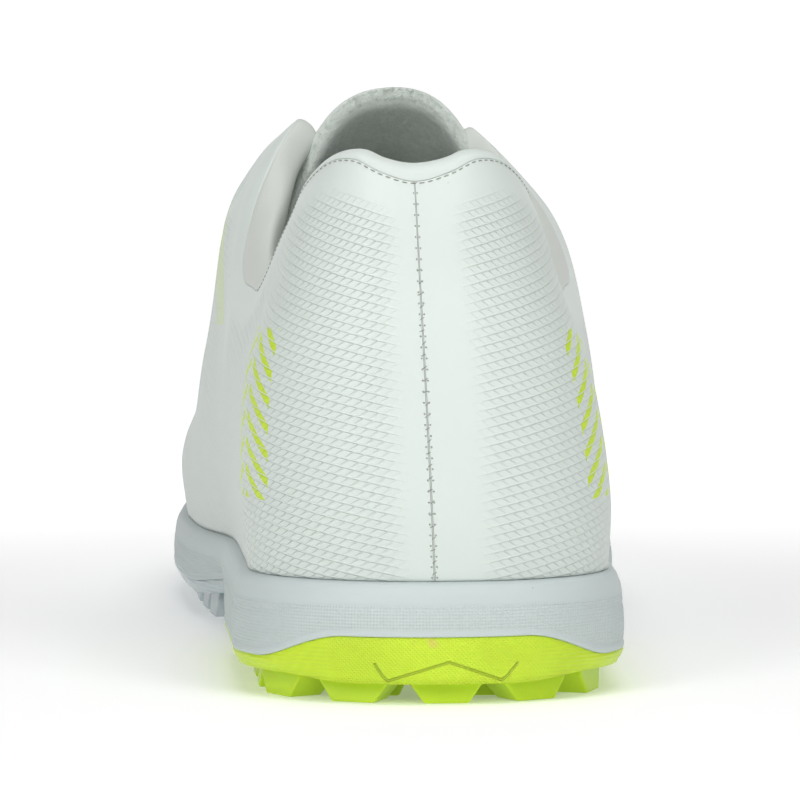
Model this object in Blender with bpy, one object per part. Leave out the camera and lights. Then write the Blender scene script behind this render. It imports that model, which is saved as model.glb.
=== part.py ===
# A right-foot turf shoe, about size EU 42: sole, hollow upper, padded collar, tongue, eyestay and laces.
# While it is modelled, X points to the outer side of the foot, Y from the back of the heel to the toe,
# and Z up from the floor. The last step centres the whole shoe over the origin.

import math

import bmesh
import bpy
import numpy as np
from mathutils import Matrix, Vector

MM = 0.001

# Driving sizes of the last, in metres. Heights are taken from the line where upper and sole meet.
SHOE_LENGTH = 286 * MM
HEEL_WIDTH = 63.5 * MM
BALL_WIDTH = 83 * MM
BACK_HEIGHT = 71 * MM
INSTEP_HEIGHT = 85 * MM
BALL_HEIGHT = 40.5 * MM
TOE_HEIGHT = 27 * MM
SOLE_OVERHANG = 2.7 * MM
HEEL_SHIFT = 1.6 * MM
HEEL_LEAN = 3.4 * MM

# The sole.
HEEL_STACK = 21 * MM
BALL_STACK = 16.8 * MM
TOE_SPRING = 8 * MM
LUG_HEIGHT = 4.6 * MM
WAIST_RISE = 2.4 * MM
RUBBER_SIDE = 7.4 * MM
RUBBER_BACK = 11.9 * MM
CUP_WALL = 2.4 * MM
LEDGE = 1.0 * MM
ARCH_INSET = 6 * MM
INSOLE_THICKNESS = 4 * MM

# The upper and what is sewn to it.
WALL = 1.8 * MM
CLEARANCE = 0.35 * MM
COLLAR_PAD = 5 * MM
COLLAR_DEPTH = 27 * MM
THROAT_TOP_WIDTH = 32 * MM
THROAT_FRONT_WIDTH = 21 * MM
THROAT_LENGTH = 79 * MM
EYESTAY_WIDTH = 15 * MM
EYESTAY_THICKNESS = 1.2 * MM
EYELETS = 6
EYELET_WIDTH = 3.6 * MM
EYELET_MARGIN = 6.5 * MM
TONGUE_THICKNESS = 4 * MM
TONGUE_MARGIN = 7 * MM
TONGUE_RISE = 7 * MM
TONGUE_PITCH = 0.36
LACE_WIDTH = 6 * MM
LACE_THICKNESS = 1.3 * MM

# Places along the shoe, as shares of its length.
HEEL_CENTRE = 0.116
BALL_LINE = 0.690
THROAT_TOP = 0.363
COLLAR_END = 0.315
HEEL_ROUND = 2.1
TOE_ROUND = 2.2
RIDGE_FALL = 0.7

# Cross sections of the last. Each foot column is a share of the row's width, the next four are shares
# of that foot: bulge above the sole, middle, high up, and the crest where the two sides meet.
SECTION_COLUMNS = "along width ridge foot bulge middle high crest foot bulge middle high crest"
SECTIONS = (
    (0.116, HEEL_WIDTH, 0.000, 0.498, 1.02, 0.96, 0.79, 0.48, 0.504, 1.03, 0.96, 0.81, 0.54),
    (0.211, HEEL_WIDTH, -0.008, 0.492, 1.04, 1.00, 0.84, 0.64, 0.528, 1.04, 0.99, 0.83, 0.65),
    (0.289, HEEL_WIDTH, -0.030, 0.468, 1.08, 1.06, 0.91, 0.50, 0.556, 1.06, 1.02, 0.86, 0.45),
    (0.352, BALL_WIDTH, -0.030, 0.355, 1.10, 1.07, 0.94, 0.00, 0.445, 1.05, 1.00, 0.77, 0.00),
    (0.458, BALL_WIDTH, -0.038, 0.378, 1.09, 1.07, 0.84, 0.00, 0.490, 1.04, 0.93, 0.66, 0.00),
    (0.574, BALL_WIDTH, -0.043, 0.414, 1.05, 0.96, 0.67, 0.00, 0.556, 1.02, 0.88, 0.56, 0.00),
    (0.690, BALL_WIDTH, -0.048, 0.434, 1.03, 0.92, 0.61, 0.00, 0.566, 1.02, 0.87, 0.55, 0.00),
)
BACK_REACH = (0.096, 1.08, 1.02, 0.90, 0.80)
TIP_REACH = (0.301, 1.008, 0.94, 0.60, 0.00)

# Heights of the same four levels, as shares of the row's height.
HEIGHT_COLUMNS = "along height bulge middle high crest"
HEIGHTS = (
    (0.116, BACK_HEIGHT, 0.20, 0.48, 0.70, 1.10),
    (0.211, BACK_HEIGHT, 0.21, 0.48, 0.70, 1.07),
    (0.289, INSTEP_HEIGHT, 0.20, 0.44, 0.67, 0.94),
    (0.352, INSTEP_HEIGHT, 0.21, 0.49, 0.765, 1.00),
    (0.458, INSTEP_HEIGHT, 0.20, 0.43, 0.65, 0.825),
    (0.574, INSTEP_HEIGHT, 0.178, 0.335, 0.50, 0.63),
    (0.690, BALL_HEIGHT, 0.30, 0.555, 0.83, 1.00),
)
BACK_HEIGHTS = (0.20, 0.51, 0.80, 1.15)
TIP_HEIGHTS = (0.35, 0.64, 1.05)

# The top edge of the padded collar, and how far below it the cut edge of the upper runs.
TOPLINE_COLUMNS = "along height drop"
TOPLINE = (
    (0.000, 1.014, 0.045),
    (0.020, 1.026, 0.036),
    (0.040, 1.048, 0.028),
    (0.062, 1.044, 0.026),
    (0.090, 1.000, 0.026),
    (0.116, 0.940, 0.025),
    (0.160, 0.830, 0.025),
    (0.192, 0.745, 0.027),
    (0.215, 0.705, 0.045),
    (0.235, 0.725, 0.100),
    (0.262, 0.800, 0.140),
    (0.285, 0.878, 0.120),
    (0.305, 0.950, 0.060),
    (0.325, 1.020, 0.010),
    (0.370, 1.180, 0.000),
)

COLOURS = {
    "upper": ((0.70, 0.74, 0.71), 0.55),
    "collar": ((0.62, 0.64, 0.61), 0.70),
    "eyestay": ((0.68, 0.71, 0.68), 0.50),
    "tongue": ((0.52, 0.57, 0.51), 0.90),
    "midsole": ((0.60, 0.67, 0.68), 0.60),
    "outsole": ((0.60, 0.78, 0.02), 0.45),
    "insole": ((0.45, 0.48, 0.45), 0.90),
    "laces": ((0.75, 0.78, 0.75), 0.85),
}


def smooth_step(share):
    share = np.clip(share, 0.0, 1.0)
    return share * share * (3 - 2 * share)


def through(places, values, at, end_share=0.0):
    """A smooth curve through the rows of a table, level at its start. At its end it keeps a share of the slope."""
    places = np.asarray(places, float)
    values = np.asarray(values, float)
    steps = np.diff(places)
    slopes = np.diff(values) / steps
    tangents = np.zeros(len(places))
    tangents[1:-1] = (slopes[:-1] * steps[1:] + slopes[1:] * steps[:-1]) / (steps[1:] + steps[:-1])
    tangents[-1] = slopes[-1] * end_share
    at = np.clip(at, places[0], places[-1])
    row = np.clip(np.searchsorted(places, at, side="right") - 1, 0, len(places) - 2)
    share = (at - places[row]) / steps[row]
    square = share * share
    cube = square * share
    start = (2 * cube - 3 * square + 1) * values[row]
    start += (cube - 2 * square + share) * steps[row] * tangents[row]
    end = (3 * square - 2 * cube) * values[row + 1]
    end += (cube - square) * steps[row] * tangents[row + 1]
    return start + end


def lift(along):
    """How far the toe spring raises the sole at a share of the length."""
    return TOE_SPRING * np.clip((along - 0.70) / 0.30, 0, None) ** 2


def sole_line(along):
    """Height of the seam between upper and sole."""
    fall = smooth_step((along - 0.24) / 0.38)
    return HEEL_STACK + (BALL_STACK - HEEL_STACK) * fall + lift(along)


def waist(along):
    """1 in the middle of the waist of the sole, 0 at the heel and the ball."""
    return smooth_step((along - 0.26) / 0.10) * smooth_step((0.54 - along) / 0.10)


def underside(along):
    """Height of the flat rubber between the lugs."""
    return LUG_HEIGHT + WAIST_RISE * waist(along) + lift(along)


def column(name, side, rows, names):
    """One column of a table, by name. Sections list the inner side first, then the outer."""
    labels = names.split()
    place = labels.index(name)
    if side > 0 and labels.count(name) > 1:
        place = labels.index(name, place + 1)
    return [row[place] for row in rows]


def lean(along, height):
    """How far the heel sits to the outer side: most at the sole, and past the middle at the collar."""
    return (HEEL_SHIFT - HEEL_LEAN * height / BACK_HEIGHT) * smooth_step((THROAT_TOP - along) / 0.24)


def section_value(name, side, along):
    places = column("along", side, SECTIONS, SECTION_COLUMNS)
    widths = np.array(column("width", side, SECTIONS, SECTION_COLUMNS))
    values = np.array(column(name, side, SECTIONS, SECTION_COLUMNS))
    if name == "ridge":
        values = values * widths
    elif name == "foot":
        values = values * widths
    else:
        values = values * widths * np.array(column("foot", side, SECTIONS, SECTION_COLUMNS))
    return through(places, values, along)


def height_value(name, along):
    places = column("along", 0, HEIGHTS, HEIGHT_COLUMNS)
    sizes = np.array(column("height", 0, HEIGHTS, HEIGHT_COLUMNS))
    heights = sizes * np.array(column(name, 0, HEIGHTS, HEIGHT_COLUMNS))
    return through(places, heights, along, RIDGE_FALL)


def ball_slope(name):
    """How fast a level falls forward where the sections end, in metres a metre."""
    step = 0.004
    before = height_value(name, BALL_LINE - step)
    return (height_value(name, BALL_LINE) - before) / (step * SHOE_LENGTH)


LEVELS = ("foot", "bulge", "middle", "high", "crest")
HEEL_TURN = 0.20
TOE_TURN = 0.74


def level_point(level, turn, flare=0.0):
    """A point of one level of the last. turn runs from 0 at the back to 1 at the tip, below 0 inside."""
    side = np.where(turn < 0, -1.0, 1.0)
    share = np.abs(turn)
    name = LEVELS[level]
    heel = np.clip(share / HEEL_TURN, 0, 1) * math.pi / 2
    toe = np.clip((share - TOE_TURN) / (1 - TOE_TURN), 0, 1) * math.pi / 2
    straight = np.clip((share - HEEL_TURN) / (TOE_TURN - HEEL_TURN), 0, 1)
    along = HEEL_CENTRE + (BALL_LINE - HEEL_CENTRE) * straight
    inner = section_value(name, -1, along)
    outer = section_value(name, 1, along)
    half = np.where(side < 0, inner, outer)
    back = BACK_REACH[0] * SHOE_LENGTH * (1 if level == 0 else BACK_REACH[level])
    tip = TIP_REACH[0] * SHOE_LENGTH * (1 if level == 0 else TIP_REACH[level])
    if level < 4:
        half = half + flare
        tip = tip + flare
    back = back + flare
    wide = np.where(share < HEEL_TURN, np.sin(heel) ** (2 / HEEL_ROUND), np.cos(toe) ** (2 / TOE_ROUND))
    wide = np.where(np.abs(wide) < 1e-9, 0.0, wide)
    rear = np.where(share < HEEL_TURN, np.clip(np.cos(heel), 0, 1) ** (2 / HEEL_ROUND), 0.0)
    fore = np.where(share > TOE_TURN, np.clip(np.sin(toe), 0, 1) ** (2 / TOE_ROUND), 0.0)
    x = section_value("ridge", -1, along) + side * half * wide
    y = along * SHOE_LENGTH - back * rear + tip * fore
    height = np.zeros_like(x)
    if level:
        height = height_value(name, along)
        at_back = BACK_HEIGHT * BACK_HEIGHTS[level - 1]
        height = np.where(share < HEEL_TURN, at_back + (height - at_back) * np.sin(heel) ** 2, height)
        if level < 4:
            at_tip = TOE_HEIGHT * TIP_HEIGHTS[level - 1]
            ahead = height + (at_tip - height) * np.sin(toe) ** 2
            ahead = ahead + ball_slope(name) * tip * np.sin(toe) * np.cos(toe) ** 2
            height = np.where(share > TOE_TURN, ahead, height)
    x = x + lean(y / SHOE_LENGTH, height)
    return np.stack([x, y, sole_line(y / SHOE_LENGTH) + height], axis=-1)


def last_surface(turn, rise):
    """The outside of the last: rise is 0 at the sole and 1 at the crest."""
    turn, rise = np.broadcast_arrays(np.asarray(turn, float), np.asarray(rise, float))
    points = np.stack([level_point(level, turn) for level in range(5)])
    tangents = np.empty_like(points)
    tangents[1:4] = (points[2:] - points[:-2]) / 2
    tangents[0] = points[1] - points[0]
    inward = points[4] - points[3]
    closed = inward.copy()
    closed[..., 2] = ball_slope("crest") * inward[..., 1]
    share = np.abs(turn)
    straight = np.clip((share - HEEL_TURN) / (TOE_TURN - HEEL_TURN), 0, 1)
    gap = section_value("crest", -1, HEEL_CENTRE + (BALL_LINE - HEEL_CENTRE) * straight)
    shut = (1 - smooth_step(gap / (10 * MM)))[..., None]
    tangents[4] = inward + (closed - inward) * shut
    knot = np.clip(rise, 0, 1) * 4
    piece = np.clip(np.floor(knot).astype(int), 0, 3)
    share = (knot - piece)[..., None]
    grid = np.indices(turn.shape)
    low = points[(piece, *grid)]
    high = points[(piece + 1, *grid)]
    low_way = tangents[(piece, *grid)]
    high_way = tangents[(piece + 1, *grid)]
    square = share * share
    cube = square * share
    found = (2 * cube - 3 * square + 1) * low + (cube - 2 * square + share) * low_way
    return found + (3 * square - 2 * cube) * high + (cube - square) * high_way


def last_normal(turn, rise):
    """The outward direction of the last's surface."""
    step = 0.002
    rise = np.minimum(rise, 1 - 2 * step)
    side = np.where(np.asarray(turn) < 0, -1.0, 1.0)
    turn = side * np.clip(np.abs(turn), step, 1 - step)
    across = last_surface(turn + step, rise) - last_surface(turn - step, rise)
    upward = last_surface(turn, rise + step) - last_surface(turn, rise - step)
    normal = np.cross(across, upward)
    on_ridge = (rise >= 1 - 2 * step) & (np.abs(turn) > turn_at(THROAT_TOP))
    normal[..., 0] = np.where(on_ridge, 0.0, normal[..., 0])
    return normal / np.linalg.norm(normal, axis=-1, keepdims=True)


def off_last(turn, rise, offset):
    """A point that lies a distance outside the last, or inside it where the distance is below 0."""
    turn, rise = np.broadcast_arrays(np.asarray(turn, float), np.asarray(rise, float))
    return last_surface(turn, rise) + last_normal(turn, rise) * np.asarray(offset)[..., None]


def heel_run(turn):
    """Share of the length that stands for a column in the topline's table."""
    share = np.abs(turn)
    straight = np.clip((share - HEEL_TURN) / (TOE_TURN - HEEL_TURN), 0, 1)
    along = HEEL_CENTRE + (BALL_LINE - HEEL_CENTRE) * straight
    return np.where(share < HEEL_TURN, HEEL_CENTRE * share / HEEL_TURN, along)


def turn_at(along):
    """The turn of the column that stands at a share of the length, between heel centre and ball."""
    straight = (along - HEEL_CENTRE) / (BALL_LINE - HEEL_CENTRE)
    return HEEL_TURN + (TOE_TURN - HEEL_TURN) * straight


def topline(run, lowered):
    places = column("along", 0, TOPLINE, TOPLINE_COLUMNS)
    heights = through(places, column("height", 0, TOPLINE, TOPLINE_COLUMNS), run)
    drops = through(places, column("drop", 0, TOPLINE, TOPLINE_COLUMNS), run)
    found = sole_line(run) + BACK_HEIGHT * (heights - drops * lowered)
    return np.where(run > THROAT_TOP + 0.02, 1.0, found)


def slot_half(along, top_width, front_width, front, top):
    """Half the width of a slot that narrows forward and ends in a round front."""
    share = np.clip((along - top) / (front - top), 0, 1)
    half = (top_width + (front_width - top_width) * share) / 2
    nose = np.clip((front - along) * SHOE_LENGTH / (front_width / 2), 0, 1)
    rounded = half * np.sqrt(np.clip(1 - (1 - nose) ** 2, 0, 1))
    return np.where(along < top - 0.03, 0.0, rounded)


THROAT_FRONT = THROAT_TOP + THROAT_LENGTH / SHOE_LENGTH


def throat_half(along, extra=0.0):
    """Half the width of the throat, or of a wider slot around it."""
    front = THROAT_FRONT + extra / SHOE_LENGTH
    return slot_half(along, THROAT_TOP_WIDTH + 2 * extra, THROAT_FRONT_WIDTH + 2 * extra, front, THROAT_TOP)


def edge_rise(turn, lowered=1.0, extra=0.0, collared=True):
    """How high up each column the upper is cut, by the topline and by the throat."""
    turn = np.asarray(turn, float)
    run = heel_run(turn)
    limit = topline(run, lowered) if collared else np.full(turn.shape, 1.0)
    slot = np.where(run < BALL_LINE - 0.001, throat_half(run, extra), 0.0)
    ridge = section_value("ridge", -1, run)
    low = np.full(turn.shape, 0.35)
    high = np.ones(turn.shape)
    for _ in range(30):
        middle = (low + high) / 2
        point = last_surface(turn, middle)
        inside = (point[..., 2] > limit) | (np.abs(point[..., 0] - ridge) < slot)
        high = np.where(inside, middle, high)
        low = np.where(inside, low, middle)
    return np.where(low > 0.9999, 1.0, low)


def column_turns():
    """Turns of the columns of one side, closer together round the front of the throat."""
    front = turn_at(THROAT_FRONT)
    nose = turn_at(THROAT_FRONT - THROAT_FRONT_WIDTH / 2 / SHOE_LENGTH)
    top = turn_at(THROAT_TOP)
    heel = np.linspace(0, HEEL_TURN, 10)
    ankle = np.linspace(HEEL_TURN, top, 15)
    throat = np.linspace(top, nose, 8)
    round_front = nose + (front - nose) * np.sin(np.linspace(0, math.pi / 2, 5))
    vamp = np.linspace(front, TOE_TURN, 3)
    toe = np.linspace(TOE_TURN, 1, 11)
    return np.concatenate([heel, ankle[1:], throat[1:], round_front[1:], vamp[1:], toe[1:]])


def ring_turns(every=1):
    """Turns all round the shoe: back, inner side, tip, outer side."""
    one_side = column_turns()
    one_side = np.append(one_side[:-1:every], one_side[-1])
    return np.concatenate([-one_side, one_side[-2:0:-1]])


def material_for(name):
    colour, roughness = COLOURS[name]
    material = bpy.data.materials.new(name)
    material.use_nodes = True
    shader = material.node_tree.nodes["Principled BSDF"]
    shader.inputs["Base Color"].default_value = (*colour, 1.0)
    shader.inputs["Roughness"].default_value = roughness
    return material


def object_from(name, shape):
    """Turns a bmesh into an object. A piece of the shoe also gets its own material, and a helper has none."""
    mesh = bpy.data.meshes.new(name)
    shape.to_mesh(mesh)
    shape.free()
    if name in COLOURS:
        mesh.materials.append(material_for(name))
    mesh.shade_smooth()
    made = bpy.data.objects.new(name, mesh)
    bpy.context.scene.collection.objects.link(made)
    return made


def add_grid(shape, points, wrap_columns=False, wrap_rows=False):
    """Quads over a grid of points, first index across and second index up. Returns the vertices."""
    across, up = points.shape[:2]
    made = [[shape.verts.new(points[i, j]) for j in range(up)] for i in range(across)]
    for i in range(across if wrap_columns else across - 1):
        for j in range(up if wrap_rows else up - 1):
            after = (i + 1) % across
            above = (j + 1) % up
            shape.faces.new((made[i][j], made[i][above], made[after][above], made[after][j]))
    return made


def add_cap(shape, ring, facing_up):
    """Closes a ring made by ring_turns with strips from the inner to the outer side."""
    count = len(ring)
    half = count // 2
    pairs = [(ring[0], ring[0])]
    pairs += [(ring[i], ring[count - i]) for i in range(1, half)]
    pairs.append((ring[half], ring[half]))
    for (left, right), (far_left, far_right) in zip(pairs, pairs[1:]):
        corners = []
        for corner in (left, right, far_right, far_left):
            if corner not in corners:
                corners.append(corner)
        shape.faces.new(corners if facing_up else corners[::-1])


def tidy(shape, keep_facing=False):
    bmesh.ops.remove_doubles(shape, verts=shape.verts, dist=0.00001)
    if not keep_facing:
        bmesh.ops.recalc_face_normals(shape, faces=shape.faces)


def add_thickness(made, thickness, offset):
    shell = made.modifiers.new("wall", "SOLIDIFY")
    shell.thickness = thickness
    shell.offset = offset
    shell.use_even_offset = True
    shell.use_quality_normals = True


def joined(made, other, operation):
    """A Boolean with a helper that stays in the file as a hidden guide."""
    other.hide_render = True
    other.display_type = "WIRE"
    change = made.modifiers.new(operation.lower(), "BOOLEAN")
    change.operation = operation
    change.solver = "EXACT"
    change.use_self = True
    change.object = other


def make_upper():
    """Vamp and quarters: one hollow shell, open at the collar, at the throat and underneath."""
    turns = ring_turns()
    rows = np.linspace(0, 1, 10)
    rises = edge_rise(turns)[:, None] * rows[None, :]
    points = last_surface(turns[:, None], rises)
    points[:, 0, 2] += CLEARANCE
    shape = bmesh.new()
    add_grid(shape, points, wrap_columns=True)
    tidy(shape, keep_facing=True)
    upper = object_from("upper", shape)
    add_thickness(upper, WALL, -1)
    return upper


def metres_up(turn, rise):
    """Metres of surface for a whole unit of rise, at one place of each column."""
    step = 0.01
    return np.linalg.norm(last_surface(turn, rise + step) - last_surface(turn, rise - step), axis=-1) / (2 * step)


def make_collar():
    """A padded ring from one side of the throat round the heel to the other. It fills the upper's scoops."""
    one_side = column_turns()
    one_side = one_side[one_side < turn_at(COLLAR_END)]
    turns = np.concatenate([-one_side[::-1], one_side[1:]])
    edge = edge_rise(turns)
    scale = metres_up(turns, edge)
    top = np.maximum(edge_rise(turns, lowered=0), edge + 1.6 * MM / scale)
    bottom = top - COLLAR_DEPTH / scale
    behind = -(WALL + 3.5 * CLEARANCE)
    shown = top - edge
    profile = (
        (bottom, behind),
        (bottom + (edge - bottom) * 0.3, behind),
        (bottom + (edge - bottom) * 0.6, behind),
        (edge - 1 * MM / scale, behind),
        (edge + 4 * CLEARANCE / scale, behind),
        (edge + 4 * CLEARANCE / scale, -CLEARANCE),
        (edge + 0.55 * shown, -CLEARANCE / 2),
        (top - 0.18 * shown, -0.25 * COLLAR_PAD),
        (top, -0.55 * COLLAR_PAD),
        (top - 0.35 * shown, -COLLAR_PAD),
        ((bottom + top) / 2, -COLLAR_PAD),
        (bottom, behind - 1.2 * MM),
    )
    points = np.stack([off_last(turns, rise, np.full(turns.shape, offset)) for rise, offset in profile], axis=1)
    shape = bmesh.new()
    made = add_grid(shape, points, wrap_rows=True)
    shape.faces.new(made[0])
    shape.faces.new(made[-1][::-1])
    tidy(shape)
    return object_from("collar", shape)


def sole_point(turn, flare, height, inset=0.0):
    """A point round the sole: flare is measured from the foot of the last, and inset narrows the waist."""
    point = level_point(0, turn, flare)
    along = point[..., 1] / SHOE_LENGTH
    share = np.where(turn < 0, 1.0, 0.35)
    point[..., 0] -= np.sign(turn) * share * inset * waist(along)
    point[..., 2] = height(along, turn)
    return point


def rubber_edge(along, turn):
    """Height of the wavy line where the rubber cup ends on the side of the midsole."""
    share = np.abs(turn) / HEEL_TURN
    behind = 1 - smooth_step((share - 0.34) / 0.32)
    return RUBBER_SIDE + (RUBBER_BACK - RUBBER_SIDE) * behind + WAIST_RISE * waist(along) + lift(along)


def rubber_floor(along, turn):
    return RUBBER_SIDE - 0.4 * MM + WAIST_RISE * waist(along) + lift(along)


def make_midsole():
    """The foam wedge. Its lower edge steps in where the rubber cup wraps round it."""
    turns = ring_turns()

    def side(share):
        return lambda along, turn: sole_line(along) + (rubber_edge(along, turn) + CLEARANCE - sole_line(along)) * share

    def raised(along, turn):
        return rubber_floor(along, turn) + CLEARANCE

    notch = SOLE_OVERHANG - CUP_WALL
    rings = (
        sole_point(turns, LEDGE, side(0.0)),
        sole_point(turns, 0.75 * SOLE_OVERHANG, side(0.13)),
        sole_point(turns, 0.95 * SOLE_OVERHANG, side(0.38)),
        sole_point(turns, 1.06 * SOLE_OVERHANG, side(0.68), ARCH_INSET * 0.4),
        sole_point(turns, SOLE_OVERHANG, side(1.0), ARCH_INSET),
        sole_point(turns, notch, side(1.0), ARCH_INSET),
        sole_point(turns, notch - 0.4 * MM, raised, ARCH_INSET),
    )
    shape = bmesh.new()
    made = add_grid(shape, np.stack(rings, axis=1), wrap_columns=True)
    add_cap(shape, [line[0] for line in made], True)
    add_cap(shape, [line[-1] for line in made], False)
    tidy(shape)
    return object_from("midsole", shape)


def add_lug(shape, centre, outward, half_length, half_depth, pointed):
    """One lug: a pointed or square foot that narrows downward from inside the rubber to the floor."""
    along = centre.y / SHOE_LENGTH
    top = float(underside(along)) + 0.8 * MM
    bottom = float(lift(along)) + float(WAIST_RISE * waist(along)) * 0.6
    across = Vector((-outward.y, outward.x))
    tip = 0.75 * half_depth if pointed else 0.0
    corners = [(-half_length, -half_depth), (half_length, -half_depth), (half_length, half_depth - tip * 0.4)]
    if pointed:
        corners.append((0.0, half_depth + tip * 0.5))
    corners.append((-half_length, half_depth - tip * 0.4))
    rings = []
    for height, narrow in ((bottom, 0.62), (top, 1.05)):
        ring = []
        for sideways, out in corners:
            place = centre + across * sideways * narrow + outward * (out * narrow)
            ring.append(shape.verts.new((place.x, place.y, height)))
        rings.append(ring)
    low, high = rings
    shape.faces.new(low[::-1])
    shape.faces.new(high)
    for i in range(len(corners)):
        after = (i + 1) % len(corners)
        shape.faces.new((low[i], low[after], high[after], high[i]))


LUG_LENGTH = 10.5 * MM
LUG_DEPTH = 8.5 * MM
LUG_PITCH = 15.5 * MM
LUG_MARGIN = 3.4 * MM


def edge_lug_places():
    """Centres and outward directions of the lugs round the rim, spaced evenly along it."""
    fine = np.linspace(-1, 1, 801)
    rim = sole_point(fine, SOLE_OVERHANG - LUG_MARGIN - LUG_DEPTH / 2, underside_at, ARCH_INSET)
    steps = np.linalg.norm(np.diff(rim[:, :2], axis=0), axis=1)
    run = np.concatenate([[0], np.cumsum(steps)])
    count = int(run[-1] / LUG_PITCH)
    count += count % 2
    middle = np.interp(0.0, fine, run)
    spots = (middle + np.arange(count) * run[-1] / count) % run[-1]
    places = []
    for spot in spots:
        here = Vector((np.interp(spot, run, rim[:, 0]), np.interp(spot, run, rim[:, 1])))
        before = (spot - 1 * MM) % run[-1]
        after = (spot + 1 * MM) % run[-1]
        ahead = Vector((np.interp(after, run, rim[:, 0]), np.interp(after, run, rim[:, 1])))
        behind = Vector((np.interp(before, run, rim[:, 0]), np.interp(before, run, rim[:, 1])))
        way = (ahead - behind).normalized()
        places.append((here, Vector((-way.y, way.x))))
    return places


def underside_at(along, turn):
    return underside(along)


def inner_lug_places():
    """Rows of lugs across the middle of the sole, every second row shifted by half a lug."""
    first = 0.075
    rows = int((0.93 - first) * SHOE_LENGTH / LUG_PITCH)
    places = []
    for row in range(rows):
        along = first + row * LUG_PITCH / SHOE_LENGTH
        if waist(along) > 0.5:
            continue
        turn = turn_at(along)
        if along < HEEL_CENTRE or along > BALL_LINE:
            turn = HEEL_TURN if along < HEEL_CENTRE else TOE_TURN
        left = float(level_point(0, np.array(-turn))[0])
        right = float(level_point(0, np.array(turn))[0])
        if along > BALL_LINE:
            reach = (along - BALL_LINE) / TIP_REACH[0]
            shrink = max(1 - reach ** TOE_ROUND, 0) ** (1 / TOE_ROUND)
            middle = float(section_value("ridge", -1, BALL_LINE))
            left = middle + (left - middle) * shrink
            right = middle + (right - middle) * shrink
        room = LUG_MARGIN + LUG_DEPTH * 1.25
        left += room + ARCH_INSET * float(waist(along))
        right -= room
        count = int((right - left) / (LUG_LENGTH * 1.25))
        if row % 2:
            count -= 1
        for i in range(max(count, 0)):
            share = (i + 0.5) / count
            places.append(Vector((left + (right - left) * share, along * SHOE_LENGTH)))
    return places


def make_outsole():
    """The rubber cup with its lugs."""
    turns = ring_turns()
    lip = SOLE_OVERHANG - CUP_WALL + CLEARANCE
    rings = (
        sole_point(turns, lip - 0.4 * MM, rubber_floor, ARCH_INSET),
        sole_point(turns, lip, rubber_edge, ARCH_INSET),
        sole_point(turns, SOLE_OVERHANG * 0.97, rubber_edge, ARCH_INSET),
        sole_point(turns, SOLE_OVERHANG * 0.62, underside_at, ARCH_INSET),
    )
    shape = bmesh.new()
    made = add_grid(shape, np.stack(rings, axis=1), wrap_columns=True)
    add_cap(shape, [line[0] for line in made], True)
    add_cap(shape, [line[-1] for line in made], False)
    tidy(shape)
    outsole = object_from("outsole", shape)
    shape = bmesh.new()
    for centre, outward in edge_lug_places():
        add_lug(shape, centre, outward, LUG_LENGTH / 2, LUG_DEPTH / 2, True)
    for centre in inner_lug_places():
        add_lug(shape, centre, Vector((0, 1)), LUG_LENGTH * 0.42, LUG_DEPTH * 0.42, False)
    tidy(shape)
    joined(outsole, object_from("outsole_lugs_guide", shape), "UNION")
    return outsole


def make_insole():
    """The sock liner, with its rim turned up a little against the upper."""
    turns = ring_turns(every=2)
    inside = -(WALL + CLEARANCE + 0.6 * MM)

    def above(height):
        return lambda along, turn: sole_line(along) + CLEARANCE + height

    rings = (
        sole_point(turns, inside - 8 * MM, above(INSOLE_THICKNESS * 0.85)),
        sole_point(turns, inside - 2.5 * MM, above(INSOLE_THICKNESS)),
        sole_point(turns, inside, above(INSOLE_THICKNESS * 1.3)),
        sole_point(turns, inside, above(0.0)),
    )
    shape = bmesh.new()
    made = add_grid(shape, np.stack(rings, axis=1), wrap_columns=True)
    add_cap(shape, [line[0] for line in made], True)
    add_cap(shape, [line[-1] for line in made], False)
    tidy(shape)
    return object_from("insole", shape)


def roof(along, sideways, offset):
    """A point off the instep, found by its place along the shoe and its distance from the ridge."""
    sideways = np.asarray(sideways, float)
    turn = np.where(sideways < 0, -1.0, 1.0) * turn_at(along)
    ridge = section_value("ridge", -1, along)
    low = np.full(sideways.shape, 0.5)
    high = np.ones(sideways.shape)
    for _ in range(26):
        middle = (low + high) / 2
        near = np.abs(last_surface(turn, middle)[..., 0] - ridge) < np.abs(sideways)
        high = np.where(near, middle, high)
        low = np.where(near, low, middle)
    low = np.where(np.abs(sideways) < 1e-6, 1.0, low)
    return off_last(turn, low, np.broadcast_to(offset, sideways.shape))


TONGUE_TOP = THROAT_TOP - TONGUE_RISE / SHOE_LENGTH
CLOSED_FROM = 0.362


def tongue_face(along, sideways, offset):
    """A point of the tongue: under the instep, and straight on past the top of the throat."""
    if along >= CLOSED_FROM:
        return roof(along, sideways, offset)
    back = (CLOSED_FROM - along) * SHOE_LENGTH
    return roof(CLOSED_FROM, sideways, offset) + np.array([0, -back, back * TONGUE_PITCH])


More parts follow.
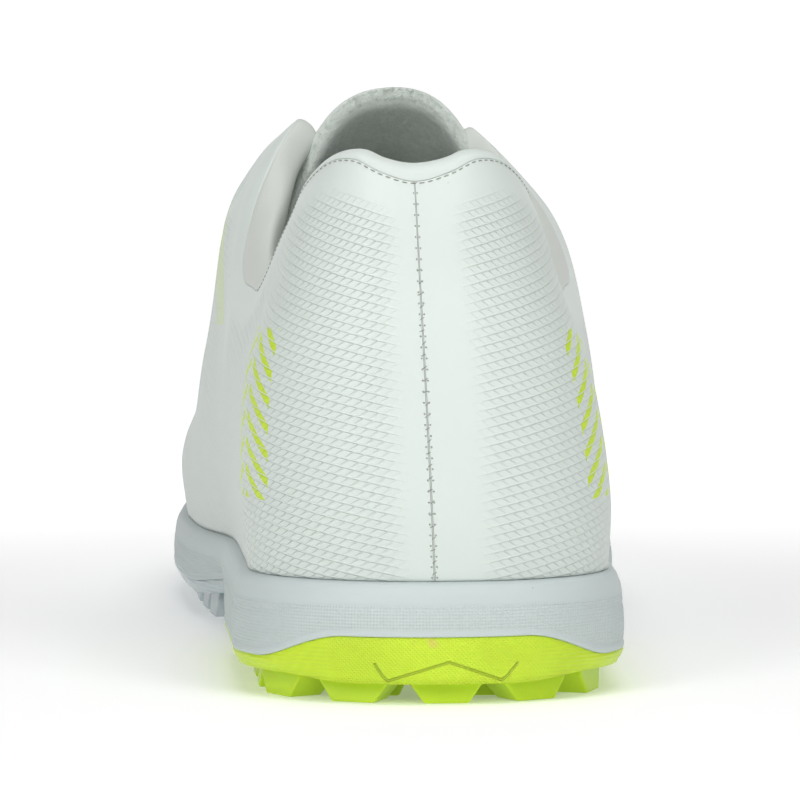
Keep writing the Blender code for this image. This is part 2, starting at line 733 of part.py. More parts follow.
def make_tongue():
    one_side = column_turns()
    places = HEEL_CENTRE + (one_side - HEEL_TURN) / (TOE_TURN - HEEL_TURN) * (BALL_LINE - HEEL_CENTRE)
    places = places[(places > CLOSED_FROM) & (places < THROAT_FRONT + 0.03)]
    places = np.concatenate([[TONGUE_TOP, CLOSED_FROM], places])
    across = np.linspace(-1, 1, 11)
    upper_face = []
    lower_face = []
    for along in places:
        widening = np.clip((along - TONGUE_TOP) / 0.06, 0, 1)
        half = float(throat_half(min(max(along, THROAT_TOP), THROAT_FRONT - 0.03)))
        half += TONGUE_MARGIN * widening - 2 * MM * (1 - widening)
        thickness = TONGUE_THICKNESS * (1 - 0.65 * across**4)
        under = WALL + 2.5 * CLEARANCE
        upper_face.append(tongue_face(along, across * half, -under))
        lower_face.append(tongue_face(along, across * half, -(under + thickness)))
    top = np.array(upper_face)
    low = np.array(lower_face)
    loop = np.concatenate([top, low[:, ::-1]], axis=1)
    shape = bmesh.new()
    made = add_grid(shape, loop, wrap_rows=True)
    count = len(across)
    for line, flip in ((made[0], False), (made[-1], True)):
        for i in range(count - 1):
            corners = (line[i], line[i + 1], line[2 * count - 2 - i], line[2 * count - 1 - i])
            shape.faces.new(corners[::-1] if flip else corners)
    tidy(shape)
    return object_from("tongue", shape)


def eyelet_places():
    """Turn and rise of each eyelet, from the front pair to the top pair."""
    front = THROAT_FRONT - 0.045
    back = THROAT_TOP + 0.022
    places = []
    for i in range(EYELETS):
        along = front + (back - front) * i / (EYELETS - 1)
        rise = edge_rise(np.array([turn_at(along)]), extra=EYELET_MARGIN, collared=False)[0]
        inner_rise = edge_rise(np.array([-turn_at(along)]), extra=EYELET_MARGIN, collared=False)[0]
        places.append((along, inner_rise, rise))
    return places


def make_eyestay():
    """A U-shaped facing round the throat, as wide as EYESTAY_WIDTH."""
    one_side = column_turns()
    front = turn_at(THROAT_FRONT + EYESTAY_WIDTH / SHOE_LENGTH)
    one_side = one_side[(one_side > turn_at(THROAT_TOP) - 0.001) & (one_side < front - 0.002)]
    nose = np.sqrt(np.linspace(0, 1, 4))
    turns = np.concatenate([one_side[:-1], one_side[-1] + (front - one_side[-1]) * nose])
    rows = np.linspace(0, 1, 5)
    shape = bmesh.new()
    for side in (-1, 1):
        low = edge_rise(side * turns, extra=EYESTAY_WIDTH, collared=False)
        high = edge_rise(side * turns)
        rises = low[:, None] + (high - low)[:, None] * rows[None, :]
        points = off_last(side * turns[:, None], rises, np.full(rises.shape, 2.5 * CLEARANCE))
        add_grid(shape, points if side < 0 else points[:, ::-1])
    tidy(shape, keep_facing=True)
    eyestay = object_from("eyestay", shape)
    add_thickness(eyestay, EYESTAY_THICKNESS, 1)
    return eyestay


def make_eyelet_cutter():
    shape = bmesh.new()
    for along, inner_rise, outer_rise in eyelet_places():
        for side, rise in ((-1, inner_rise), (1, outer_rise)):
            turn = np.array(side * turn_at(along))
            centre = Vector(last_surface(turn, np.array(rise)))
            way = Vector(last_normal(turn, np.array(rise)))
            placed = Matrix.Translation(centre) @ way.to_track_quat("Z", "Y").to_matrix().to_4x4()
            bmesh.ops.create_cone(
                shape,
                cap_ends=True,
                segments=8,
                radius1=EYELET_WIDTH / 2,
                radius2=EYELET_WIDTH / 2,
                depth=7 * MM,
                matrix=placed,
            )
    return object_from("eyelet_cutter", shape)


def lace_bar(name, start, end, raised):
    """One flat run of lace from an inner eyelet to an outer one. start and end are places along the shoe."""
    steps = np.linspace(0, 1, 9)
    left = -(float(throat_half(start)) + EYELET_MARGIN)
    right = float(throat_half(end)) + EYELET_MARGIN
    middle = EYESTAY_THICKNESS + 4 * CLEARANCE + LACE_THICKNESS / 2 + raised
    centres = []
    normals = []
    for step in steps:
        along = start + (end - start) * step
        sideways = np.array([left + (right - left) * step])
        here = Vector(roof(along, sideways, 0.0)[0])
        above = Vector(roof(along, sideways, 1 * MM)[0])
        normals.append((above - here).normalized())
        centres.append(here + normals[-1] * middle)
    shape = bmesh.new()
    rings = []
    for i, (centre, normal) in enumerate(zip(centres, normals)):
        ahead = centres[min(i + 1, len(centres) - 1)]
        behind = centres[max(i - 1, 0)]
        across = normal.cross(ahead - behind).normalized()
        ring = []
        for sideways, up in ((-1, -1), (1, -1), (1, 1), (-1, 1)):
            place = centre + across * (sideways * LACE_WIDTH / 2) + normal * (up * LACE_THICKNESS / 2)
            ring.append(place)
        rings.append([tuple(place) for place in ring])
    made = add_grid(shape, np.array(rings), wrap_rows=True)
    shape.faces.new(made[0])
    shape.faces.new(made[-1][::-1])
    tidy(shape)
    return object_from(name, shape)


def make_laces():
    """The crossed runs of the lace, joined into one piece that ends at the top eyelets."""
    places = [along for along, _, _ in eyelet_places()]
    laces = lace_bar("laces", places[0], places[0], 0.0)
    for i in range(EYELETS - 1):
        joined(laces, lace_bar(f"lace_guide_{i}_a", places[i], places[i + 1], 0.0), "UNION")
        joined(laces, lace_bar(f"lace_guide_{i}_b", places[i + 1], places[i], LACE_THICKNESS * 0.45), "UNION")
    return laces


def centre_shoe(pieces):
    """Moves the shoe so that the middle of its footprint stands on the origin."""
    bpy.context.view_layer.update()
    graph = bpy.context.evaluated_depsgraph_get()
    corners = []
    for piece in pieces:
        mesh = piece.evaluated_get(graph).to_mesh()
        corners += [vertex.co.copy() for vertex in mesh.vertices]
    across = [corner.x for corner in corners]
    along = [corner.y for corner in corners]
    height = [corner.z for corner in corners]
    shift = Vector((-(min(across) + max(across)) / 2, -(min(along) + max(along)) / 2, -min(height)))
    for made in bpy.data.objects:
        made.location = shift
    print("moved by", [round(value / MM, 3) for value in shift], "mm")


def clear_scene():
    for old in list(bpy.data.objects):
        bpy.data.objects.remove(old, do_unlink=True)


def make_shoe():
    upper = make_upper()
    eyestay = make_eyestay()
    cutter = make_eyelet_cutter()
    joined(upper, cutter, "DIFFERENCE")
    joined(eyestay, cutter, "DIFFERENCE")
    others = [make_collar(), make_midsole(), make_outsole(), make_insole(), make_tongue(), make_laces()]
    centre_shoe([upper, eyestay] + others)


clear_scene()
make_shoe()
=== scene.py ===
import math

import bmesh
import bpy
import numpy as np
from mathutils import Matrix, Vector


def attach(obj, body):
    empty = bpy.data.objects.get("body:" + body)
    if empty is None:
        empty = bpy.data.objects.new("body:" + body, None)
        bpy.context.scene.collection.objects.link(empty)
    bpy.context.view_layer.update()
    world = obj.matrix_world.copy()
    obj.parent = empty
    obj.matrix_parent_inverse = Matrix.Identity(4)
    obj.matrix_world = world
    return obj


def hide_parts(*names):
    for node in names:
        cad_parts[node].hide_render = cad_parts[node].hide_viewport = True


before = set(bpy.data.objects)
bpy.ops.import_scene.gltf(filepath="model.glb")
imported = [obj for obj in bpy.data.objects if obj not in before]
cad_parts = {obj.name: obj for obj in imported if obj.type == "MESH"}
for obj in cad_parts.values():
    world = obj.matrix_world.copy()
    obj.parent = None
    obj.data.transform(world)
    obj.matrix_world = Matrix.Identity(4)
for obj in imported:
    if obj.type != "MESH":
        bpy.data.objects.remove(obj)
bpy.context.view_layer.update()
print("stage 1: solids loaded")

# Everything below is modelled in millimetres: X to the outer side of the foot, Y from the heel to the toe,
# Z up from the floor. sitOn moves it onto the solids.
sitOn = np.array([-1.562, -144.573, 0.0])

last = {
    "length": 286.0,
    "heelWidth": 63.5,
    "ballWidth": 83.0,
    "backHeight": 71.0,
    "instepHeight": 85.0,
    "ballHeight": 40.5,
    "toeHeight": 27.0,
    "heelShift": 1.6,
    "heelLean": 3.4,
    "heelCentre": 0.116,  # places along the shoe are shares of its length
    "ballLine": 0.690,
    "heelRound": 2.1,
    "toeRound": 2.2,
    "ridgeFall": 0.7,
    "heelTurn": 0.20,
    "toeTurn": 0.74,
    "backReach": (0.096, 1.08, 1.02, 0.90, 0.80),
    "tipReach": (0.301, 1.008, 0.94, 0.60, 0.00),
    "backHeights": (0.20, 0.51, 0.80, 1.15),
    "tipHeights": (0.35, 0.64, 1.05),
    "clearance": 0.35,
    "leanOver": 0.24,
    "wall": 1.8,
}

# one row for each place along the shoe; foot is a share of the width, the others are shares of that foot
sectionNames = "along wide ridge foot bulge middle high crest foot bulge middle high crest".split()
sectionRows = (
    (0.116, "heelWidth", 0.000, 0.498, 1.02, 0.96, 0.79, 0.48, 0.504, 1.03, 0.96, 0.81, 0.54),
    (0.211, "heelWidth", -0.008, 0.492, 1.04, 1.00, 0.84, 0.64, 0.528, 1.04, 0.99, 0.83, 0.65),
    (0.289, "heelWidth", -0.030, 0.468, 1.08, 1.06, 0.91, 0.50, 0.556, 1.06, 1.02, 0.86, 0.45),
    (0.352, "ballWidth", -0.030, 0.355, 1.10, 1.07, 0.94, 0.00, 0.445, 1.05, 1.00, 0.77, 0.00),
    (0.458, "ballWidth", -0.038, 0.378, 1.09, 1.07, 0.84, 0.00, 0.490, 1.04, 0.93, 0.66, 0.00),
    (0.574, "ballWidth", -0.043, 0.414, 1.05, 0.96, 0.67, 0.00, 0.556, 1.02, 0.88, 0.56, 0.00),
    (0.690, "ballWidth", -0.048, 0.434, 1.03, 0.92, 0.61, 0.00, 0.566, 1.02, 0.87, 0.55, 0.00),
)
heightNames = "along tall bulge middle high crest".split()
heightRows = (
    (0.116, "backHeight", 0.20, 0.48, 0.70, 1.10),
    (0.211, "backHeight", 0.21, 0.48, 0.70, 1.07),
    (0.289, "instepHeight", 0.20, 0.44, 0.67, 0.94),
    (0.352, "instepHeight", 0.21, 0.49, 0.765, 1.00),
    (0.458, "instepHeight", 0.20, 0.43, 0.65, 0.825),
    (0.574, "instepHeight", 0.178, 0.335, 0.50, 0.63),
    (0.690, "ballHeight", 0.30, 0.555, 0.83, 1.00),
)
# top edge of the padded collar, and how far below it the upper is cut, as shares of the back height
toplineRows = (
    (0.000, 1.014, 0.045),
    (0.020, 1.026, 0.036),
    (0.040, 1.048, 0.028),
    (0.062, 1.044, 0.026),
    (0.090, 1.000, 0.026),
    (0.116, 0.940, 0.025),
    (0.160, 0.830, 0.025),
    (0.192, 0.745, 0.027),
    (0.215, 0.705, 0.030),
    (0.235, 0.735, 0.055),
    (0.262, 0.800, 0.105),
    (0.285, 0.878, 0.120),
    (0.305, 0.950, 0.060),
    (0.325, 1.020, 0.010),
    (0.370, 1.180, 0.000),
)

sole = {
    "heelStack": 21.0,
    "ballStack": 16.8,
    "toeSpring": 8.0,
    "overhang": 2.7,
    "lugHeight": 4.6,
    "waistRise": 2.4,
    "rubberSide": 7.4,
    "rubberBack": 11.9,
    "cupWall": 2.4,
    "ledge": 1.0,
    "archInset": 6.0,
    "lugLength": 10.5,
    "lugDepth": 8.5,
    "lugPitch": 15.5,
    "lugMargin": 3.4,
    "lugShift": 2.0,  # of the first lug from the middle of the toe
    "springFrom": 0.70,  # where the toe starts to rise, as a share of the length
    "fall": (0.24, 0.62),  # from the heel's height to the ball's
    "waist": (0.26, 0.54, 0.10),  # start, end, and the stretch over which each eases
}

throat = {
    "top": 0.363,
    "length": 79.0,
    "topWidth": 32.0,
    "frontWidth": 21.0,
}
throatFront = throat["top"] + throat["length"] / last["length"]


def smoothStep(share):
    share = np.clip(share, 0.0, 1.0)
    return share * share * (3 - 2 * share)


def unit(vectors):
    return vectors / np.linalg.norm(vectors, axis=-1, keepdims=True)


def through(places, values, at, endShare=0.0):  # smooth curve through the rows of a table
    places = np.asarray(places, float)
    values = np.asarray(values, float)
    steps = np.diff(places)
    slopes = np.diff(values) / steps
    tangents = np.zeros(len(places))
    tangents[1:-1] = (slopes[:-1] * steps[1:] + slopes[1:] * steps[:-1]) / (steps[1:] + steps[:-1])
    tangents[-1] = slopes[-1] * endShare
    at = np.clip(at, places[0], places[-1])
    row = np.clip(np.searchsorted(places, at, side="right") - 1, 0, len(places) - 2)
    t = (at - places[row]) / steps[row]
    start = (2 * t**3 - 3 * t**2 + 1) * values[row] + (t**3 - 2 * t**2 + t) * steps[row] * tangents[row]
    return start + (3 * t**2 - 2 * t**3) * values[row + 1] + (t**3 - t**2) * steps[row] * tangents[row + 1]


def lift(along):
    start = sole["springFrom"]
    return sole["toeSpring"] * np.clip((along - start) / (1 - start), 0, None) ** 2


def soleLine(along):
    start, end = sole["fall"]
    fall = smoothStep((along - start) / (end - start))
    return sole["heelStack"] + (sole["ballStack"] - sole["heelStack"]) * fall + lift(along)


def waist(along):  # 1 at the narrow part of the sole
    start, end, ease = sole["waist"]
    return smoothStep((along - start) / ease) * smoothStep((end - along) / ease)


def underside(along, turn=None):  # like every height along the sole, it may be given the turn
    return sole["lugHeight"] + sole["waistRise"] * waist(along) + lift(along)


def lean(along, height):
    shift = last["heelShift"] - last["heelLean"] * height / last["backHeight"]
    return shift * smoothStep((throat["top"] - along) / last["leanOver"])


def sectionValue(name, side, along):
    place = sectionNames.index(name)
    outer = side > 0 and sectionNames.count(name) > 1
    place = sectionNames.index(name, place + 1) if outer else place
    wide = np.array([last[row[1]] for row in sectionRows])
    values = np.array([row[place] for row in sectionRows]) * wide
    if name not in ("ridge", "foot"):
        values = values * np.array([row[8 if side > 0 else 3] for row in sectionRows])
    return through([row[0] for row in sectionRows], values, along)


def heightValue(name, along):
    place = heightNames.index(name)
    heights = [last[row[1]] * row[place] for row in heightRows]
    return through([row[0] for row in heightRows], heights, along, last["ridgeFall"])


def ballSlope(name):
    step = 0.004
    ahead = heightValue(name, last["ballLine"]) - heightValue(name, last["ballLine"] - step)
    return ahead / (step * last["length"])


levelNames = ("foot", "bulge", "middle", "high", "crest")


def alongAt(turn):
    straight = np.clip((np.abs(turn) - last["heelTurn"]) / (last["toeTurn"] - last["heelTurn"]), 0, 1)
    return last["heelCentre"] + (last["ballLine"] - last["heelCentre"]) * straight


def turnAt(along):
    straight = (along - last["heelCentre"]) / (last["ballLine"] - last["heelCentre"])
    return last["heelTurn"] + (last["toeTurn"] - last["heelTurn"]) * straight


def levelPoint(level, turn, flare=0.0):  # turn: 0 at the back, 1 at the tip, below 0 on the inner side
    share = np.abs(turn)
    name = levelNames[level]
    heel = np.clip(share / last["heelTurn"], 0, 1) * math.pi / 2
    toe = np.clip((share - last["toeTurn"]) / (1 - last["toeTurn"]), 0, 1) * math.pi / 2
    along = alongAt(turn)
    half = np.where(turn < 0, sectionValue(name, -1, along), sectionValue(name, 1, along))
    back = last["backReach"][0] * last["length"] * (last["backReach"][level] if level else 1)
    tip = last["tipReach"][0] * last["length"] * (last["tipReach"][level] if level else 1)
    if level < 4:
        half = half + flare
        tip = tip + flare
    back = back + flare
    atHeel = share < last["heelTurn"]
    heelPower = 2 / last["heelRound"]
    toePower = 2 / last["toeRound"]
    wide = np.where(atHeel, np.sin(heel) ** heelPower, np.clip(np.cos(toe), 0, 1) ** toePower)
    wide = np.where(np.abs(wide) < 1e-9, 0.0, wide)
    rear = np.where(atHeel, np.clip(np.cos(heel), 0, 1) ** heelPower, 0.0)
    fore = np.where(share > last["toeTurn"], np.clip(np.sin(toe), 0, 1) ** toePower, 0.0)
    x = sectionValue("ridge", -1, along) + np.where(turn < 0, -1.0, 1.0) * half * wide
    y = along * last["length"] - back * rear + tip * fore
    height = np.zeros_like(x)
    if level:
        height = heightValue(name, along)
        atBack = last["backHeight"] * last["backHeights"][level - 1]
        height = np.where(atHeel, atBack + (height - atBack) * np.sin(heel) ** 2, height)
        if level < 4:
            atTip = last["toeHeight"] * last["tipHeights"][level - 1]
            ahead = height + (atTip - height) * np.sin(toe) ** 2
            ahead = ahead + ballSlope(name) * tip * np.sin(toe) * np.cos(toe) ** 2
            height = np.where(share > last["toeTurn"], ahead, height)
    x = x + lean(y / last["length"], height)
    return np.stack([x, y, soleLine(y / last["length"]) + height], axis=-1)


def lastSurface(turn, rise):  # rise: 0 at the sole, 1 at the crest
    turn, rise = np.broadcast_arrays(np.asarray(turn, float), np.asarray(rise, float))
    points = np.stack([levelPoint(level, turn) for level in range(5)])
    ways = np.empty_like(points)
    ways[1:4] = (points[2:] - points[:-2]) / 2
    ways[0] = points[1] - points[0]
    inward = points[4] - points[3]
    closed = inward.copy()
    closed[..., 2] = ballSlope("crest") * inward[..., 1]
    shut = (1 - smoothStep(sectionValue("crest", -1, alongAt(turn)) / 10))[..., None]
    ways[4] = inward + (closed - inward) * shut
    knot = np.clip(rise, 0, 1) * 4
    piece = np.clip(np.floor(knot).astype(int), 0, 3)
    t = (knot - piece)[..., None]
    grid = np.indices(turn.shape)
    low, high = points[(piece, *grid)], points[(piece + 1, *grid)]
    lowWay, highWay = ways[(piece, *grid)], ways[(piece + 1, *grid)]
    found = (2 * t**3 - 3 * t**2 + 1) * low + (t**3 - 2 * t**2 + t) * lowWay
    return found + (3 * t**2 - 2 * t**3) * high + (t**3 - t**2) * highWay


def lastNormal(turn, rise):
    step = 0.002
    rise = np.minimum(rise, 1 - 2 * step)
    turn = np.where(np.asarray(turn) < 0, -1.0, 1.0) * np.clip(np.abs(turn), step, 1 - step)
    across = lastSurface(turn + step, rise) - lastSurface(turn - step, rise)
    upward = lastSurface(turn, rise + step) - lastSurface(turn, rise - step)
    normal = np.cross(across, upward)
    onRidge = (rise >= 1 - 2 * step) & (np.abs(turn) > turnAt(throat["top"]))
    normal[..., 0] = np.where(onRidge, 0.0, normal[..., 0])
    return unit(normal)


def offLast(turn, rise, offset):
    turn, rise = np.broadcast_arrays(np.asarray(turn, float), np.asarray(rise, float))
    return lastSurface(turn, rise) + lastNormal(turn, rise) * np.asarray(offset)[..., None]


def heelRun(turn):
    share = np.abs(turn)
    return np.where(share < last["heelTurn"], last["heelCentre"] * share / last["heelTurn"], alongAt(turn))


def topline(run, lowered):
    places = [row[0] for row in toplineRows]
    heights = through(places, [row[1] for row in toplineRows], run)
    drops = through(places, [row[2] for row in toplineRows], run)
    found = soleLine(run) + last["backHeight"] * (heights - drops * lowered)
    return np.where(run > throat["top"] + 0.02, 1000.0, found)


def throatHalf(along, extra=0.0):  # half the width of the throat, or of a wider slot round it
    front = throatFront + extra / last["length"]
    share = np.clip((along - throat["top"]) / (front - throat["top"]), 0, 1)
    topWidth, frontWidth = throat["topWidth"] + 2 * extra, throat["frontWidth"] + 2 * extra
    half = (topWidth + (frontWidth - topWidth) * share) / 2
    nose = np.clip((front - along) * last["length"] / (frontWidth / 2), 0, 1)
    rounded = half * np.sqrt(np.clip(1 - (1 - nose) ** 2, 0, 1))
    return np.where(along < throat["top"] - 0.03, 0.0, rounded)


def edgeRise(turn, lowered=1.0, extra=0.0, collared=True):  # how high up each column the upper is cut
    turn = np.asarray(turn, float)
    run = heelRun(turn)
    limit = topline(run, lowered) if collared else np.full(turn.shape, 1000.0)
    slot = np.where(run < last["ballLine"] - 0.001, throatHalf(run, extra), 0.0)
    ridge = sectionValue("ridge", -1, run)
    low, high = np.full(turn.shape, 0.35), np.ones(turn.shape)
    for _ in range(26):
        middle = (low + high) / 2
        point = lastSurface(turn, middle)
        inside = (point[..., 2] > limit) | (np.abs(point[..., 0] - ridge) < slot)
        high = np.where(inside, middle, high)
        low = np.where(inside, low, middle)
    return np.where(low > 0.9999, 1.0, low)


def edgeScale(turn, rise, step=0.02):  # millimetres of surface for a whole unit of rise
    return np.linalg.norm(lastSurface(turn, rise) - lastSurface(turn, rise - step), axis=-1) / step


topCorner = {
    "swell": 2.3,  # the padding lifts the inner side's top corner beside the tongue
    "reach": 13.0,  # how far below the edge the lift ends, and over what height it fades
    "fade": 11.0,
    "start": (0.29, 0.05),  # places along the shoe, each with the stretch over which it eases
    "end": (0.405, 0.03),
}


def topSwell(turn, fromEdge=0.0):
    along = heelRun(turn)
    (start, startEase), (end, endEase) = topCorner["start"], topCorner["end"]
    swell = topCorner["swell"] * (np.asarray(turn) < 0)
    swell = swell * smoothStep((along - start) / startEase) * smoothStep((end - along) / endEase)
    return swell * smoothStep((topCorner["reach"] - fromEdge) / topCorner["fade"])


# meshes

def ringTurns(heel, side, toe):  # turns all round the shoe: back, inner side, tip, outer side
    parts = (
        np.linspace(0, last["heelTurn"], heel),
        np.linspace(last["heelTurn"], last["toeTurn"], side)[1:],
        np.linspace(last["toeTurn"], 1, toe)[1:],
    )
    half = np.concatenate(parts)
    return np.concatenate([-half, half[-2:0:-1]])


def gridFaces(across, up, wrapAcross=False, wrapUp=False):
    i = np.arange(across if wrapAcross else across - 1)
    j = np.arange(up if wrapUp else up - 1)
    i, j = [part.ravel() for part in np.meshgrid(i, j, indexing="ij")]
    after, above = (i + 1) % across, (j + 1) % up
    return np.stack([i * up + j, i * up + above, after * up + above, after * up + j], axis=1)


def tubeFaces(rings, sides, start=0):  # a tube of rings, closed at both ends
    faces = (gridFaces(rings, sides, wrapUp=True) + start).tolist()
    end = start + (rings - 1) * sides
    return faces + [list(range(start, start + sides))[::-1], list(range(end, end + sides))]


def capFaces(count, up, row, facingUp):  # closes a ring made by ringTurns with strips across the shoe
    half = count // 2
    pairs = [(0, 0)] + [(i, count - i) for i in range(1, half)] + [(half, half)]
    faces = []
    for (left, right), (farLeft, farRight) in zip(pairs, pairs[1:]):
        corners = list(dict.fromkeys((left, right, farRight, farLeft)))
        corners = [corner * up + row for corner in corners]
        faces.append(corners if facingUp else corners[::-1])
    return faces


def closeRings(rings):  # points and faces of a solid from rings made by ringTurns
    points = np.stack(rings, axis=1)
    count, up = points.shape[:2]
    faces = gridFaces(count, up, wrapAcross=True).tolist()
    return points, faces + capFaces(count, up, 0, True) + capFaces(count, up, up - 1, False)


def runLength(points):  # distance along a row of points, from its start
    steps = np.linalg.norm(np.diff(points, axis=0), axis=-1)
    return np.concatenate([np.zeros((1,) + steps.shape[1:]), np.cumsum(steps, axis=0)])


def aroundRing(ring):  # distance of each point from the back of the heel, along its own side
    half = len(ring) // 2
    inner = runLength(ring[:half + 1])
    outer = runLength(np.concatenate([ring[:1], ring[:half - 1:-1]]))
    return np.concatenate([inner[:half], outer[:0:-1]])


def atRun(at, run, points):  # points found by their distance along a row
    return np.stack([np.interp(at, run, column) for column in points.T], axis=-1)


def spread(points, normals, step):  # even places along a row of points, with their directions
    run = runLength(points)
    at = np.arange(step / 2, run[-1], step)
    way = unit(atRun(at + 0.3, run, points) - atRun(at - 0.3, run, points))
    up = atRun(at, run, normals)
    up -= way * np.sum(way * up, axis=1, keepdims=True)
    return atRun(at, run, points), way, unit(up)


def grains(centres, ways, ups, length, thick):  # one small rounded bit of thread for each centre
    sides = 6
    rings = ((-0.5, 0.35), (-0.32, 0.9), (0.0, 1.0), (0.32, 0.9), (0.5, 0.35))
    across = np.cross(ways, ups)
    points = []
    for place, size in rings:
        sunk = -0.35 * thick * (1 - size)
        for angle in np.arange(sides) * 2 * math.pi / sides:
            here = centres + ways * (place * length) + ups * (sunk + math.sin(angle) * size * thick / 2)
            points.append(here + across * (math.cos(angle) * size * thick / 2))
    faces = []
    for index in range(len(centres)):
        faces += tubeFaces(len(rings), sides, index * sides * len(rings))
    return np.stack(points, axis=1).reshape(-1, 3), faces


def addObject(name, data):
    made = bpy.data.objects.new(name, data)
    bpy.context.scene.collection.objects.link(made)
    return made


def subdivided(thing, levels):
    rounder = thing.modifiers.new("rounder", "SUBSURF")
    rounder.levels = levels
    rounder.render_levels = levels


def makePiece(name, points, faces, look, finish, replaced=None, stored=None, subdivide=0, weld=0.004):
    points = np.asarray(points, float).reshape(-1, 3)
    mesh = bpy.data.meshes.new(name)
    corners = [[int(corner) for corner in face] for face in faces]
    mesh.from_pydata(((points + sitOn) / 1000).tolist(), [], corners)
    for label, values in (stored or {}).items():
        values = np.asarray(values, float)
        wide = values.ndim > 1 and values.shape[-1] == 3
        layer = mesh.attributes.new(label, "FLOAT_VECTOR" if wide else "FLOAT", "POINT")
        layer.data.foreach_set("vector" if wide else "value", values.ravel())
    shape = bmesh.new()
    shape.from_mesh(mesh)
    bmesh.ops.remove_doubles(shape, verts=shape.verts, dist=weld / 1000)
    bmesh.ops.recalc_face_normals(shape, faces=shape.faces)
    shape.to_mesh(mesh)
    shape.free()
    mesh.materials.append(look)
    mesh.shade_smooth()
    piece = addObject(name, mesh)
    if subdivide:
        subdivided(piece, subdivide)
    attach(piece, "root")
    if replaced:
        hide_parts(replaced)
    return piece


def flatFaces(piece):
    for face in piece.data.polygons:
        face.use_smooth = False


# materials

def plug(tree, value, slot):  # sets a node's input from a number, a colour or a wire
    if isinstance(value, Wire):
        tree.links.new(value.socket, slot)
    else:
        slot.default_value = (*value, 1.0) if isinstance(value, tuple) else value


class Wire:  # a value inside a material, used with the usual signs
    def __init__(self, tree, socket):
        self.tree = tree
        self.socket = socket

    def maths(self, operation, *others):
        made = self.tree.nodes.new("ShaderNodeMath")
        made.operation = operation
        for slot, value in zip(made.inputs, (self, *others)):
            plug(self.tree, value, slot)
        return Wire(self.tree, made.outputs[0])

    def __add__(self, other):
        return self.maths("ADD", other)

    def __sub__(self, other):
        return self.maths("SUBTRACT", other)

    def __rsub__(self, other):
        return self.maths("MULTIPLY_ADD", -1.0, other)

    def __mul__(self, other):
        return self.maths("MULTIPLY", other)

    def __truediv__(self, other):
        return self.maths("DIVIDE", other)

    def __lt__(self, other):
        return self.maths("LESS_THAN", other)

    def __gt__(self, other):
        return self.maths("GREATER_THAN", other)

    def __abs__(self):
        return self.maths("ABSOLUTE")

    def larger(self, other):
        return self.maths("MAXIMUM", other)

    def part(self):  # what is left after the whole number
        return self.maths("FRACT")

    def wave(self):
        return self.maths("SINE")

    def ease(self, low, high, start=0.0, end=1.0):  # smooth step from low to high
        made = self.tree.nodes.new("ShaderNodeMapRange")
        made.interpolation_type = "SMOOTHSTEP"
        slots = ("Value", "From Min", "From Max", "To Min", "To Max")
        for slot, value in zip(slots, (self, low, high, start, end)):
            plug(self.tree, value, made.inputs[slot])
        return Wire(self.tree, made.outputs["Result"])


def distance(across, up):
    return (across * across + up * up).maths("SQRT")


def blend(share, first, second):  # from the first colour to the second
    made = share.tree.nodes.new("ShaderNodeMix")
    made.data_type = "RGBA"
    for index, value in ((0, share), (6, first), (7, second)):
        plug(share.tree, value, made.inputs[index])
    return Wire(share.tree, made.outputs[2])


def readAttribute(look, label):
    made = look.node_tree.nodes.new("ShaderNodeAttribute")
    made.attribute_name = label
    return made.outputs


def readValue(look, label):
    return Wire(look.node_tree, readAttribute(look, label)["Fac"])


def split(look, vector):
    made = look.node_tree.nodes.new("ShaderNodeSeparateXYZ")
    look.node_tree.links.new(vector, made.inputs[0])
    return [Wire(look.node_tree, output) for output in made.outputs]


def readPlace(look):  # the three numbers that a piece stores at each point
    return split(look, readAttribute(look, "place")["Vector"])


def objectPlace(look):
    return look.node_tree.nodes.new("ShaderNodeTexCoord").outputs["Object"]


def noise(look, scale, detail=3.0, rough=0.5):
    made = look.node_tree.nodes.new("ShaderNodeTexNoise")
    made.inputs["Scale"].default_value = scale
    made.inputs["Detail"].default_value = detail
    made.inputs["Roughness"].default_value = rough
    look.node_tree.links.new(objectPlace(look), made.inputs["Vector"])
    return Wire(look.node_tree, made.outputs["Fac"])


def bump(height, depth, before=None):  # depth in millimetres
    made = height.tree.nodes.new("ShaderNodeBump")
    made.inputs["Strength"].default_value = 1.0
    made.inputs["Distance"].default_value = depth / 1000
    plug(height.tree, height, made.inputs["Height"])
    if before is not None:
        plug(height.tree, before, made.inputs["Normal"])
    return Wire(height.tree, made.outputs["Normal"])


def newLook(name, colour, roughness, coat=0.0, coatRoughness=0.3, sheen=0.0, specular=0.5, subsurface=0.0):
    look = bpy.data.materials.new(name)
    look.use_nodes = True
    sockets = {
        "Base Color": (*colour, 1.0),
        "Roughness": roughness,
        "Coat Weight": coat,
        "Coat Roughness": coatRoughness,
        "Sheen Weight": sheen,
        "Sheen Roughness": 0.5,
        "Specular IOR Level": specular,
    }
    if subsurface:
        sockets["Subsurface Weight"] = subsurface
        sockets["Subsurface Scale"] = 0.001
    for label, value in sockets.items():
        look.node_tree.nodes["Principled BSDF"].inputs[label].default_value = value
    return look


def feed(look, **wires):  # joins wires to the shader and hands the look back
    labels = {"colour": "Base Color", "rough": "Roughness", "normal": "Normal", "glow": "Emission Strength"}
    shader = look.node_tree.nodes["Principled BSDF"]
    for name, wire in wires.items():
        plug(look.node_tree, wire, shader.inputs[labels[name]])
    return look


